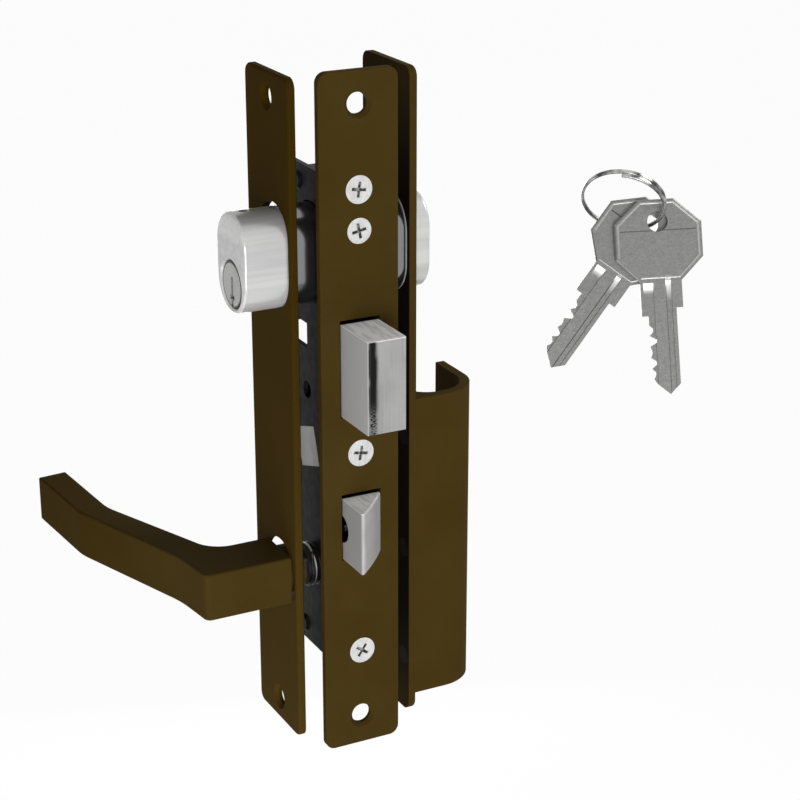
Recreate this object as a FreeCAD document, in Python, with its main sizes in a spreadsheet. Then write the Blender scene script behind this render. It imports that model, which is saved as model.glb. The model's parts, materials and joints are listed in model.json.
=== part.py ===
"""Mortise lock for a narrow door stile, with lever, pull and double cylinder, in millimetres.

The outer face of the faceplate is Y = 0 and +Y runs into the door. The lever is on the -X side,
the pull on the +X side, and +Z is up. The origin is the middle of the faceplate's outer face.
The bolts are thrown and the lever is level.
"""
import FreeCAD, Part
import math
import os
import re
import Sketcher

SIZES = {
    # How far a cutting tool runs past its work, and one shape into the next
    "past": 1.0,
    "lap": 0.1,
    # Coordinates closer than this count as the same
    "same": 0.001,
    # Faceplate
    "face_width": 24.0,
    "face_height": 203.2,
    "face_thickness": 2.2,
    "face_corner": 3.0,
    "face_edge": 0.35,
    "face_hole_inset": 9.2,
    "face_hole_radius": 3.0,
    "face_sink_radius": 4.1,
    # Faceplate screws
    "screw_radius": 1.75,
    "screw_head_radius": 4.0,
    "top_screw_angle": 8.0,
    "middle_screw_angle": 10.0,
    "bottom_screw_angle": 35.0,
    "screw_length": 9.5,
    "screw_play": 0.08,
    "cross_width": 0.9,
    "cross_length": 4.4,
    "cross_depth": 1.1,
    "top_screw_inset": 3.7,
    "middle_screw_z": -8.2,
    "bottom_screw_inset": 3.9,
    "retaining_screw_z": 57.2,
    "retaining_screw_radius": 2.4,
    "retaining_screw_head_radius": 3.65,
    "retaining_screw_angle": -12.0,
    "retaining_screw_length": 16.0,
    # Case
    "case_width": 16.0,
    "case_top": 72.5,
    "case_bottom": -74.8,
    "case_depth": 36.0,
    "case_wall": 1.5,
    "lug_height": 4.9,
    "lug_depth": 6.0,
    "lug_side_play": 0.1,
    "rivet_radius": 2.0,
    "rivet_head_radius": 2.9,
    "rivet_head_height": 0.7,
    "rivet_end_inset": 5.0,
    "rivet_end_back": 13.5,
    "rivet_cylinder_drop": 1.0,
    "rivet_cylinder_back": 8.0,
    "rivet_middle_drop": 4.7,
    "rivet_middle_back": 8.5,
    "top_opening_front": 18.4,
    "top_opening_height": 10.5,
    "window_low": 19.0,
    "window_high": 26.5,
    "window_front": 18.0,
    "window_back": 27.0,
    "back_window_low": 12.5,
    "back_window_high": 22.0,
    "back_window_side": 5.5,
    "fixing_hole_radius": 2.6,
    "fixing_hole_y": 18.5,
    "fixing_hole_z": 6.3,
    # Key cylinder
    "backset": 14.5,
    "plug_z": 42.4,
    "oval_radius": 9.5,
    "oval_below": 8.1,
    "oval_above": 20.5,
    "oval_edge": 0.9,
    "oval_play": 0.3,
    "interior_reach": 32.3,
    "exterior_reach": 24.8,
    "plug_radius": 6.85,
    "running_play": 0.05,
    "plug_recess": 0.3,
    "plug_chamfer": 0.4,
    "bore_chamfer": 0.6,
    "cam_gap": 12.0,
    "bridge_above": 8.1,
    "key_slot_width": 1.3,
    "key_slot_above": 2.3,
    "key_slot_split": 3.0,
    "key_slot_below": 6.1,
    "key_slot_lobe": 3.0,
    "key_slot_lobe_height": 1.3,
    "pin_radius": 1.2,
    "pin_pitch": 3.1,
    "pin_first": 4.0,
    "pin_hole_under": 0.2,
    "shear_gap": 0.15,
    "driver_length": 4.0,
    "cap_length": 1.0,
    "coil_play": 0.1,
    "coil_wire": 0.35,
    "clip_thickness": 0.8,
    "clip_radius": 7.8,
    "clip_mouth": 5.0,
    "groove_radius": 5.5,
    "plug_end_radius": 6.0,
    "plug_end": 4.6,
    "tang_width": 4.0,
    "drive_gap": 0.2,
    # Cam
    "cam_width": 8.8,
    "cam_hub_radius": 7.4,
    "cam_arm_width": 5.0,
    "cam_arm_root": 8.2,
    "cam_reach": 15.0,
    "cam_tip_radius": 2.0,
    "cam_neck": 2.4,
    # Deadbolt
    "deadbolt_width": 11.7,
    "deadbolt_height": 27.2,
    "deadbolt_z": 17.3,
    "deadbolt_throw": 17.0,
    "deadbolt_guide": 3.2,
    "deadbolt_edge": 0.8,
    "bolt_play": 0.4,
    "bolt_top_play": 1.2,
    "notch_play": 0.45,
    "notch_depth": 6.3,
    "tail_width": 5.0,
    "tail_end": 3.4,
    # Latch
    "latch_width": 11.7,
    "latch_height": 18.8,
    "latch_z": -30.8,
    "latch_throw": 13.2,
    "latch_guide": 3.0,
    "latch_bevel_radius": 104.0,
    "latch_bevel_angle": 47.4,
    "latch_edge": 0.7,
    "latch_recess_radius": 4.2,
    "latch_recess_depth": 3.0,
    "latch_recess_y": 0.8,
    "latch_pin_radius": 1.1,
    "latch_pin_inset": 0.4,
    "latch_bar_width": 4.0,
    "latch_bar_height": 4.0,
    "latch_lug_thickness": 3.0,
    "latch_lug_width": 5.0,
    "latch_bar_play": 0.7,
    "lug_play": 0.3,
    "latch_spring_radius": 2.8,
    "latch_spring_wire": 0.6,
    "latch_spring_rise": 0.5,
    # Follower, spindle and lever
    "spindle_z": -46.5,
    "spindle_size": 7.0,
    "spindle_play": 0.06,
    "spindle_edge": 0.5,
    "spindle_interior": 37.0,
    "spindle_inset": 0.5,
    "spindle_end_play": 0.5,
    "follower_radius": 6.0,
    "follower_play": 0.1,
    "journal_radius": 5.6,
    "journal_reach": 12.6,
    "follower_arm": 14.0,
    "follower_tip_radius": 2.0,
    "follower_arm_width": 3.0,
    "follower_arm_thickness": 5.0,
    "spring_wire": 0.8,
    "spring_radius": 6.2,
    "spring_pitch": 1.35,
    "spring_gap": 0.3,
    "spring_leg": 6.5,
    "lever_height": 14.5,
    "neck_front": 5.8,
    "neck_width": 16.6,
    "neck_standoff": 0.5,
    "lever_reach": 46.3,
    "grip_start": 21.0,
    "grip_start_x": 48.2,
    "grip_knee": 65.0,
    "grip_knee_x": 63.1,
    "grip_end": 97.0,
    "grip_end_x": 65.4,
    "grip_thickness": 9.0,
    "grip_root_inset": 2.0,
    "grip_end_slant": 0.8,
    "lever_corner": 2.2,
    "lever_inner_bend": 9.0,
    "lever_outer_bend": 40.0,
    "lever_knee_bend": 22.0,
    "lever_edge": 0.7,
    "lever_spigot_radius": 7.2,
    "lever_spigot": 5.2,
    "grub_radius": 2.5,
    "grub_x": 29.0,
    "grub_recess": 0.6,
    "grub_socket_radius": 1.25,
    "grub_socket_depth": 1.4,
    # Escutcheon plates
    "stile_gap": 34.2,
    "lever_plate_thickness": 2.2,
    "pull_plate_thickness": 2.7,
    "plate_front": 3.4,
    "plate_width": 28.6,
    "plate_height": 197.4,
    "plate_middle": 1.4,
    "plate_corner": 3.0,
    "plate_edge": 0.9,
    "plate_hole_inset": 7.15,
    "plate_hole_radius": 2.8,
    "plate_sink_radius": 3.9,
    "plate_oval_rise": 1.2,
    "lever_hole_radius": 9.8,
    "lever_recess_radius": 12.0,
    "lever_recess_depth": 1.2,
    # Pull
    "pull_top": 3.7,
    "pull_bottom": -91.6,
    "pull_reach": 42.1,
    "pull_depth": 25.2,
    "pull_wall": 2.8,
    "pull_bend": 12.3,
    "pull_foot": 8.0,
    "pull_foot_bend": 7.9,
    "pull_lip": 0.6,
    "pull_screw_radius": 1.5,
    "pull_screw_head_radius": 2.9,
    "pull_screw_length": 5.6,
    "pull_screw_inset": 3.3,
    "pull_screw_margin": 12.0,
    # Blank label on the case
    "label_thickness": 0.1,
    "label_y": 14.6,
    "label_z": -3.8,
    "label_width": 12.0,
    "label_height": 11.7,
    "label_angle": 17.8,
    # Key set
    "keys_turn_angle": 27.3,
    "keys_lean_angle": 20.65,
    "ring_across": 74.07,
    "ring_up": 63.99,
    "ring_near": 3.0,
    "ring_start_angle": 15.0,
    "ring_roll_angle": -15.0,
    "ring_tip_angle": 56.0,
    "ring_radius": 11.6,
    "ring_wire": 0.9,
    "ring_pitch": 1.35,
    "key_thickness": 1.8,
    "key_gap": 0.5,
    "key_head_width": 24.8,
    "key_head_top": 6.3,
    "key_head_flat": 10.0,
    "key_head_upper": 0.4,
    "key_head_lower": 10.4,
    "key_head_bottom": 16.9,
    "key_hole_radius": 2.9,
    "key_collar_width": 11.8,
    "key_collar_cut_side": 9.7,
    "key_collar_back_side": 7.6,
    "key_blade_width": 8.0,
    "key_blade_length": 22.3,
    "key_tip_length": 2.9,
    "key_tip_flat": 6.3,
    "key_cut_1": 1.0,
    "key_cut_2": 1.9,
    "key_cut_3": 0.5,
    "key_cut_4": 1.6,
    "key_cut_5": 1.2,
    "key_cut_flat": 0.9,
    "key_cut_rise": 1.0,
    "key_end_rise": 0.6,
    "key_end_run": 1.4,
    "key_head_bevel": 0.4,
    "key_line_down": 2.4,
    "key_line_inset": 1.6,
    "key_line_width": 0.25,
    "key_line_depth": 0.12,
    "key_groove_depth": 0.5,
    "key_cutter_radius": 8.0,
    "key_flank_near": 2.2,
    "key_flank_far": 5.1,
    "key_flank_start": 20.2,
    "key_channel_near": 1.2,
    "key_channel_far": 2.9,
    "key_channel_start": 18.2,
    "key_slot_play": 0.1,
    "front_key_across": 9.7,
    "front_key_down": 6.2,
    "front_key_roll_angle": 3.3,
    "back_key_across": 7.25,
    "back_key_down": 7.0,
    "back_key_roll_angle": -35.5,
}
PIN_COUNT = 5
KEY_CUTS = tuple(f"key_cut_{index + 1}" for index in range(PIN_COUNT))
SPRING_TURNS = 2.25
SPRING_ARCS = 4
RING_TURNS = 1.25
RING_ARCS = 8
GAP_POINTS = 240

doc = FreeCAD.newDocument("NarrowStileLock")
sheet = doc.addObject("Spreadsheet::Sheet", "Sizes")
for row, (alias, value) in enumerate(SIZES.items(), start=1):
    sheet.set(f"A{row}", alias)
    sheet.set(f"B{row}", str(value))
    sheet.setAlias(f"B{row}", alias)
sheet.recompute()

pieces = {}


def on_sheet(formula):
    """Formula with each size written as a cell of the sheet."""
    return re.sub(r"[a-z]\w*", lambda word: f"Sizes.{word[0]}" if word[0] in SIZES else word[0], str(formula))


def number(formula):
    """Value of a formula."""
    return float(sheet.evalExpression(on_sheet(formula)))


def bind(thing, **formulas):
    """Tie properties of an object to the sheet."""
    for name, formula in formulas.items():
        thing.setExpression(name, on_sheet(formula))
    return thing


def place(thing, spot):
    """Tie an object's place to three formulas."""
    for axis, formula in zip("xyz", spot):
        thing.setExpression(f"Placement.Base.{axis}", on_sheet(formula))
    return thing


def piece(node, thing):
    """Name an object as a finished piece of the lock."""
    thing.Label = node
    pieces[node] = thing
    return thing


def box(name, x, y, z):
    """Box between a low and a high formula along each axis."""
    solid = place(doc.addObject("Part::Box", name), (x[0], y[0], z[0]))
    spans = [f"({high}) - ({low})" for low, high in (x, y, z)]
    return bind(solid, Length=spans[0], Width=spans[1], Height=spans[2])


TURN = {
    "x": FreeCAD.Rotation(FreeCAD.Vector(0, 1, 0), 90),
    "y": FreeCAD.Rotation(FreeCAD.Vector(1, 0, 0), -90),
    "z": FreeCAD.Rotation(),
}


def lay(solid, axis, start, middle):
    """Put a round solid's start on a line along an axis."""
    solid.Placement = FreeCAD.Placement(FreeCAD.Vector(), TURN[axis])
    spot = list(middle)
    spot.insert("xyz".index(axis), start)
    return place(solid, spot)


def rod(name, axis, ends, middle, radius):
    """Cylinder between two ends along an axis."""
    solid = lay(doc.addObject("Part::Cylinder", name), axis, ends[0], middle)
    return bind(solid, Radius=radius, Height=f"({ends[1]}) - ({ends[0]})")


def cone(name, axis, ends, middle, radii):
    """Cone between two ends along an axis."""
    solid = lay(doc.addObject("Part::Cone", name), axis, ends[0], middle)
    return bind(solid, Radius1=radii[0], Radius2=radii[1], Height=f"({ends[1]}) - ({ends[0]})")


def fuse(name, *solids):
    """One solid of several."""
    joined = doc.addObject("Part::MultiFuse", name)
    joined.Shapes = list(solids)
    joined.Refine = True
    return joined


def cut(name, base, *tools):
    """A solid with others taken out of it."""
    result = doc.addObject("Part::Cut", name)
    result.Base = base
    result.Tool = tools[0] if len(tools) == 1 else fuse(f"{name}Tools", *tools)
    result.Refine = True
    return result


def group(name, solids):
    """Separate like solids that share a node."""
    compound = doc.addObject("Part::Compound", name)
    compound.Links = list(solids)
    return compound


def oval(name, x, play="0", rise="0"):
    """Bar along X with the cylinder's oval section, larger by a play."""
    radius = f"oval_radius + {play}"
    low = "plug_z - oval_below + oval_radius"
    high = f"plug_z + oval_above - oval_radius + {rise}"
    sides = (f"backset - ({radius})", f"backset + {radius}")
    return fuse(
        name,
        rod(f"{name}Low", "x", x, ("backset", low), radius),
        rod(f"{name}High", "x", x, ("backset", high), radius),
        box(f"{name}Middle", x, sides, (low, high)),
    )


def plane_of(body, role):
    """One of a body's own origin planes."""
    return next(feature for feature in body.Origin.OriginFeatures if feature.Role == role)


def sketch_in(body, role, name):
    """Empty sketch on one of a body's origin planes."""
    sketch = body.newObject("Sketcher::SketchObject", name)
    sketch.AttachmentSupport = (plane_of(body, role), [""])
    sketch.MapMode = "FlatFace"
    return sketch


def hold(sketch, kind, *where, formula):
    """Dimension of a sketch tied to the sheet."""
    index = sketch.addConstraint(Sketcher.Constraint(kind, *where, number(formula)))
    sketch.setExpression(f"Constraints[{index}]", on_sheet(formula))


def outline(body, role, name, corners):
    """Closed outline whose corners are pairs of formulas."""
    sketch = sketch_in(body, role, name)
    spots = [FreeCAD.Vector(number(across), number(up), 0) for across, up in corners]
    count = len(spots)
    for index, spot in enumerate(spots):
        sketch.addGeometry(Part.LineSegment(spot, spots[(index + 1) % count]), False)
    for index in range(count):
        sketch.addConstraint(Sketcher.Constraint("Coincident", index, 2, (index + 1) % count, 1))
    for index, (across, up) in enumerate(corners):
        hold(sketch, "DistanceX", -1, 1, index, 1, formula=across)
        hold(sketch, "DistanceY", -1, 1, index, 1, formula=up)
    return sketch


def circles(body, role, name, rounds):
    """Circles given as across, up and radius formulas."""
    sketch = sketch_in(body, role, name)
    for index, (across, up, radius) in enumerate(rounds):
        middle = FreeCAD.Vector(number(across), number(up), 0)
        sketch.addGeometry(Part.Circle(middle, FreeCAD.Vector(0, 0, 1), number(radius)), False)
        hold(sketch, "DistanceX", -1, 1, index, 3, formula=across)
        hold(sketch, "DistanceY", -1, 1, index, 3, formula=up)
        hold(sketch, "Radius", index, formula=radius)
    return sketch


def rectangle(across, up):
    """Corners of a rectangle between two pairs of formulas."""
    return [(across[0], up[0]), (across[1], up[0]), (across[1], up[1]), (across[0], up[1])]


def pad(body, sketch, length, side="One side", back=False):
    """Material along a sketch's normal."""
    feature = body.newObject("PartDesign::Pad", f"{sketch.Name}Pad")
    feature.Profile = sketch
    feature.SideType = side
    feature.Reversed = back
    return bind(feature, Length=length)


def pocket(body, sketch, length, side="One side", back=False):
    """Cut along a sketch's normal."""
    feature = body.newObject("PartDesign::Pocket", f"{sketch.Name}Pocket")
    feature.Profile = sketch
    feature.SideType = side
    feature.Reversed = back
    return bind(feature, Length=length)


def sink_holes(body, sketch, radius, sink_radius):
    """Countersunk holes through a body at a sketch's circles."""
    doc.recompute()
    feature = body.newObject("PartDesign::Hole", f"{sketch.Name}Holes")
    feature.Profile = sketch
    feature.DepthType = "ThroughAll"
    feature.ThreadType = "None"
    feature.HoleCutType = "Countersink"
    feature.HoleCutCountersinkAngle = 90
    bind(feature, Diameter=f"2 * ({radius})", HoleCutDiameter=f"2 * ({sink_radius})")
    return feature


def edges(feature, test):
    """Names of a feature's edges whose two ends pass a test."""
    found = []
    for index, edge in enumerate(feature.Shape.Edges, start=1):
        if len(edge.Vertexes) == 2 and test(*(vertex.Point for vertex in edge.Vertexes)):
            found.append(f"Edge{index}")
    return found


def round_edges(body, name, radius, test):
    """Fillet on the edges of the body's tip that pass a test."""
    doc.recompute()
    base = body.Tip
    feature = body.newObject("PartDesign::Fillet", name)
    feature.Base = (base, edges(base, test))
    return bind(feature, Radius=radius)


def bevel_edges(body, name, size, test):
    """Chamfer on the edges of the body's tip that pass a test."""
    doc.recompute()
    base = body.Tip
    feature = body.newObject("PartDesign::Chamfer", name)
    feature.Base = (base, edges(base, test))
    return bind(feature, Size=size)


def rounded(name, base, radius, test):
    """Solid with a fillet on each edge, given as a shape, that passes a test."""
    doc.recompute()
    result = doc.addObject("Part::Fillet", name)
    result.Base = base
    result.Edges = [(index, number(radius), number(radius))
                    for index, edge in enumerate(base.Shape.Edges, start=1) if test(edge)]
    return result


def upright(spot_test, axis):
    """Test for straight edges along an axis whose place passes a test."""
    other = [index for index in range(3) if index != axis]

    def passes(start, end):
        straight = all(abs(start[index] - end[index]) < number("same") for index in other)
        return straight and spot_test(*(start[index] for index in other))

    return passes


def near(value, formula):
    """Whether a coordinate is at a formula's value."""
    return abs(value - number(formula)) < number("same")


def anywhere(*spot):
    """Every place."""
    return True


CASE_SIDE = "case_width / 2"
CASE_INSIDE = "(case_width / 2 - case_wall)"
FRONT_PLATE_BACK = "(face_thickness + case_wall)"
PLATE_INSIDE = "stile_gap / 2"
PLATE_THICKNESS = {"interior": "lever_plate_thickness", "exterior": "pull_plate_thickness"}
PLATE_OUTSIDE = {side: f"(stile_gap / 2 + {thickness})" for side, thickness in PLATE_THICKNESS.items()}
PLATE_BACK = "(plate_front + plate_width)"
PLATE_LOW = "(plate_middle - plate_height / 2)"
PLATE_HIGH = "(plate_middle + plate_height / 2)"
PLATE_CENTRE = f"(plate_front + {PLATE_BACK}) / 2"


def turned(name, solid, axis, angle, spot):
    """Solid turned about an axis through the origin by an angle in degrees, then put at a place."""
    result = group(name, [solid])
    result.Placement = FreeCAD.Placement(FreeCAD.Vector(), FreeCAD.Rotation(FreeCAD.Vector(*axis), 1))
    bind(result, **{"Placement.Rotation.Angle": angle})
    return place(result, spot)


SCREW_Z = {
    "top": "(case_top - top_screw_inset)",
    "middle": "middle_screw_z",
    "bottom": "(case_bottom + bottom_screw_inset)",
    "retaining": "retaining_screw_z",
}


def sunk_screw(end, kind, length):
    """Flat-head screw through the faceplate, its cross recess turned by its own angle."""
    name = f"{end.title()}Screw"
    z = SCREW_Z[end]
    radius = f"{kind}_radius"
    neck = f"{kind}_head_radius - {radius}"
    head = cone(f"{name}Head", "y", ("0", neck), ("0", z), (f"{kind}_head_radius", radius))
    shank = rod(f"{name}Shank", "y", (neck, length), ("0", z), radius)
    long = ("cross_length / 2", "cross_width / 2")
    slots = [
        box(f"{name}{way}", (f"-{wide}", wide), ("-past", "cross_depth"), (f"-{tall}", tall))
        for way, wide, tall in (("Across", *long), ("Upright", *long[::-1]))
    ]
    cross = fuse(f"{name}Slots", *slots)
    cross = turned(f"{name}Cross", cross, (0, 1, 0), f"{end}_screw_angle", ("0", "0", z))
    return cut(name, fuse(f"{name}Blank", head, shank), cross)


def make_faceplate():
    """Painted faceplate with its two bolt openings, mounting holes and screw holes."""
    body = doc.addObject("PartDesign::Body", "Faceplate")
    half_wide = "face_width / 2"
    half_high = "face_height / 2"
    blank = outline(body, "XZ_Plane", "FaceOutline",
                    rectangle((f"-{half_wide}", half_wide), (f"-{half_high}", half_high)))
    pad(body, blank, "face_thickness", back=True)
    round_edges(body, "FaceCorners", "face_corner", upright(anywhere, 1))
    round_edges(body, "FaceEdge", "face_edge", lambda start, end: near(start.y, "0") and near(end.y, "0"))
    openings = (
        ("DeadboltOpening", "deadbolt_width", "deadbolt_height", "deadbolt_z"),
        ("LatchOpening", "latch_width", "latch_height", "latch_z"),
    )
    for name, width, height, middle in openings:
        across = (f"-({width} / 2 + bolt_play)", f"{width} / 2 + bolt_play")
        up = (f"{middle} - {height} / 2 - bolt_play", f"{middle} + {height} / 2 + bolt_top_play")
        pocket(body, outline(body, "XZ_Plane", name, rectangle(across, up)), "face_thickness")
    mounting = [("0", f"{sign}({half_high} - face_hole_inset)", "face_hole_radius") for sign in ("", "-")]
    sink_holes(body, circles(body, "XZ_Plane", "Mounting", mounting), "face_hole_radius", "face_sink_radius")
    screws = [("0", SCREW_Z[end], "screw_radius") for end in ("top", "middle", "bottom")]
    sink_holes(body, circles(body, "XZ_Plane", "Screws", screws),
               "screw_radius + screw_play", "screw_head_radius + screw_play")
    retaining = [("0", "retaining_screw_z", "retaining_screw_radius")]
    sink_holes(body, circles(body, "XZ_Plane", "Retaining", retaining),
               "retaining_screw_radius + screw_play", "retaining_screw_head_radius + screw_play")
    piece("faceplate", body)
    piece("faceplate_screws", group("FaceScrews", [
        sunk_screw(end, "screw", "screw_length") for end in ("top", "middle", "bottom")
    ]))
    piece("cylinder_retaining_screw", sunk_screw("retaining", "retaining_screw", "retaining_screw_length"))


RIVETS = (
    ("case_depth - rivet_end_back", "case_top - rivet_end_inset"),
    ("case_depth - rivet_cylinder_back", "plug_z - oval_below - rivet_cylinder_drop"),
    ("case_depth - rivet_middle_back", "deadbolt_z - deadbolt_height / 2 - rivet_middle_drop"),
    ("case_depth - rivet_end_back", "case_bottom + rivet_end_inset"),
)


def make_case():
    """Steel case: tapped front plate, folded body, riveted cover and a blank label."""
    top_inside = "case_top - case_wall"
    bottom_inside = "case_bottom + case_wall"
    plate = box("FrontPlateSheet", (f"-{CASE_SIDE}", CASE_SIDE), ("face_thickness", FRONT_PLATE_BACK),
                ("case_bottom", "case_top"))
    lug_x = (f"-{CASE_INSIDE} + lug_side_play", f"{CASE_INSIDE} - lug_side_play")
    lug_y = ("face_thickness", f"{FRONT_PLATE_BACK} + lug_depth")
    lugs = [
        box("TopLug", lug_x, lug_y, (f"{top_inside} - lug_height", top_inside)),
        box("MiddleLug", lug_x, lug_y,
            ("middle_screw_z - lug_height / 2", "middle_screw_z + lug_height / 2")),
        box("BottomLug", lug_x, lug_y, (bottom_inside, f"{bottom_inside} + lug_height")),
    ]
    through = ("0", f"{FRONT_PLATE_BACK} + lug_depth + past")
    holes = [rod(f"{end.title()}Tapping", "y", through, ("0", SCREW_Z[end]), "screw_radius + screw_play")
             for end in ("top", "middle", "bottom")]
    holes.append(rod("RetainingPassage", "y", through, ("0", "retaining_screw_z"),
                     "retaining_screw_radius + screw_play"))
    for name, width, height, middle in (
        ("FrontDeadboltOpening", "deadbolt_width", "deadbolt_height", "deadbolt_z"),
        ("FrontLatchOpening", "latch_width", "latch_height", "latch_z"),
    ):
        half_wide = f"({width} / 2 + bolt_play)"
        half_high = f"({height} / 2 + bolt_play)"
        holes.append(box(name, (f"-{half_wide}", half_wide), through,
                         (f"{middle} - {half_high}", f"{middle} + {half_high}")))
    piece("case_front_plate", cut("FrontPlate", fuse("FrontPlateBlank", plate, *lugs), *holes))

    outer = box("CaseOuter", (f"-{CASE_INSIDE}", CASE_SIDE), (FRONT_PLATE_BACK, "case_depth"),
                ("case_bottom", "case_top"))
    inner = box("CaseInner", (f"-{CASE_SIDE}", CASE_INSIDE), ("0", "case_depth - case_wall"),
                (bottom_inside, top_inside))
    body_side = (f"{CASE_INSIDE} - past", f"{CASE_SIDE} + past")
    cover_side = (f"-{CASE_SIDE} - past", f"-{CASE_INSIDE} + past")
    back_window = box("BackWindow", ("-back_window_side", "back_window_side"),
                      ("case_depth - case_wall - past", "case_depth + past"),
                      ("back_window_low", "back_window_high"))
    top_opening = box("TopOpening", (f"-{CASE_INSIDE} - past", CASE_INSIDE),
                      ("top_opening_front", "case_depth + past"),
                      ("case_top - top_opening_height", "case_top + past"))
    shells = {}
    for side, span in (("Body", body_side), ("Cover", cover_side)):
        shells[side] = [
            oval(f"{side}Oval", span, "oval_play"),
            rod(f"{side}Journal", "x", span, ("backset", "spindle_z"), "journal_radius + running_play"),
            rod(f"{side}Fixing", "x", span, ("fixing_hole_y", "fixing_hole_z"), "fixing_hole_radius"),
        ]
        for index, spot in enumerate(RIVETS):
            shells[side].append(rod(f"{side}Rivet{index}", "x", span, spot, "rivet_radius"))
    piece("case_body", cut("CaseBody", outer, inner, back_window, top_opening, *shells["Body"]))
    cover_sheet = box("CoverSheet", (f"-{CASE_SIDE}", f"-{CASE_INSIDE}"), (FRONT_PLATE_BACK, "case_depth"),
                      ("case_bottom", "case_top"))
    window = box("CoverWindow", cover_side, ("window_front", "window_back"), ("window_low", "window_high"))
    piece("case_cover", cut("CaseCover", cover_sheet, window, *shells["Cover"]))

    rivets = []
    for index, spot in enumerate(RIVETS):
        shank = rod(f"RivetShank{index}", "x", (f"-{CASE_SIDE}", CASE_SIDE), spot, "rivet_radius")
        heads = [
            cone(f"RivetHeadA{index}", "x", (f"-{CASE_SIDE} - rivet_head_height", f"-{CASE_SIDE}"), spot,
                 ("rivet_radius", "rivet_head_radius")),
            cone(f"RivetHeadB{index}", "x", (CASE_SIDE, f"{CASE_SIDE} + rivet_head_height"), spot,
                 ("rivet_head_radius", "rivet_radius")),
        ]
        rivets.append(fuse(f"Rivet{index}", shank, *heads))
    piece("case_rivets", group("CaseRivets", rivets))

    label = doc.addObject("PartDesign::Body", "Label")
    across = ("label_width * cos(label_angle)", "-label_width * sin(label_angle)")
    down = ("-label_height * sin(label_angle)", "-label_height * cos(label_angle)")
    blank = outline(label, "YZ_Plane", "LabelOutline", [
        ("label_y", "label_z"),
        (f"label_y + {down[0]}", f"label_z + {down[1]}"),
        (f"label_y + {down[0]} + {across[0]}", f"label_z + {down[1]} + {across[1]}"),
        (f"label_y + {across[0]}", f"label_z + {across[1]}"),
    ])
    pad(label, blank, "label_thickness", back=True)
    place(label, (f"-{CASE_SIDE}", "0", "0"))
    piece("case_label", label)


PLUG_TOP = "plug_z + plug_radius"
SHEAR_LINE = "plug_z + plug_radius - shear_gap"
CHAMBER_TOP = "plug_z + oval_above"
KEY_TOP = "(plug_z - key_slot_below + key_slot_play + key_blade_width)"


def pin_places(side, reach):
    """X of each pin stack, counted inwards from the cylinder's face."""
    return [f"{side}({reach} - pin_first - {index} * pin_pitch)" for index in range(PIN_COUNT)]


def make_cylinder_body():
    """Oval body with a plug bore, pin chambers and the cam's gap."""
    bar = oval("OvalBar", ("-interior_reach", "exterior_reach"))
    soft = rounded("OvalRounded", bar, "oval_edge", lambda edge: edge.BoundBox.XLength < number("same"))
    axis = ("backset", "plug_z")
    fit = "(plug_radius + running_play)"
    bore = rod("PlugBore", "x", ("-interior_reach - past", "exterior_reach + past"), axis, fit)
    mouths = [
        cone("InteriorMouth", "x", ("-interior_reach", "bore_chamfer - interior_reach"), axis,
             (f"{fit} + bore_chamfer", fit)),
        cone("ExteriorMouth", "x", ("exterior_reach - bore_chamfer", "exterior_reach"), axis,
             (fit, f"{fit} + bore_chamfer")),
    ]
    gap = box("CamGap", ("-cam_gap / 2", "cam_gap / 2"), ("0", "case_depth"),
              ("plug_z - oval_below - past", "plug_z + bridge_above"))
    tapping = rod("RetainingTapping", "y", ("0", "retaining_screw_length + past"), ("0", "retaining_screw_z"),
                  "retaining_screw_radius + screw_play")
    chambers = [
        rod(f"Chamber{side}{index}", "z", ("plug_z", f"{CHAMBER_TOP} + past"), (x, "backset"),
            "pin_radius + running_play")
        for side, reach, sign in (("Interior", "interior_reach", "-"), ("Exterior", "exterior_reach", ""))
        for index, x in enumerate(pin_places(sign, reach))
    ]
    piece("cylinder_body", cut("CylinderBody", soft, bore, *mouths, gap, tapping, *chambers))


def make_pins(side, reach, sign):
    """Key pins, driver pins, springs and chamber caps of one end."""
    stacks = {"key_pins": [], "driver_pins": [], "pin_springs": [], "chamber_caps": []}
    driver_low = f"{PLUG_TOP} + running_play"
    driver_high = f"{driver_low} + driver_length"
    cap_low = f"{CHAMBER_TOP} - oval_edge - cap_length"
    for index, (x, depth) in enumerate(zip(pin_places(sign, reach), KEY_CUTS)):
        spot = (x, "backset")
        tag = f"{side}{index}"
        stacks["key_pins"].append(rod(f"KeyPin{tag}", "z", (f"{KEY_TOP} - {depth}", SHEAR_LINE), spot,
                                      "pin_radius"))
        stacks["driver_pins"].append(rod(f"Driver{tag}", "z", (driver_low, driver_high), spot, "pin_radius"))
        coil = rod(f"Coil{tag}", "z", (driver_high, cap_low), spot, "pin_radius - coil_play")
        hollow = rod(f"Hollow{tag}", "z", (driver_high, cap_low), spot,
                     "pin_radius - coil_play - coil_wire")
        stacks["pin_springs"].append(cut(f"PinSpring{tag}", coil, hollow))
        stacks["chamber_caps"].append(rod(f"Cap{tag}", "z", (cap_low, f"{cap_low} + cap_length"), spot,
                                          "pin_radius + running_play"))
    return stacks


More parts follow.
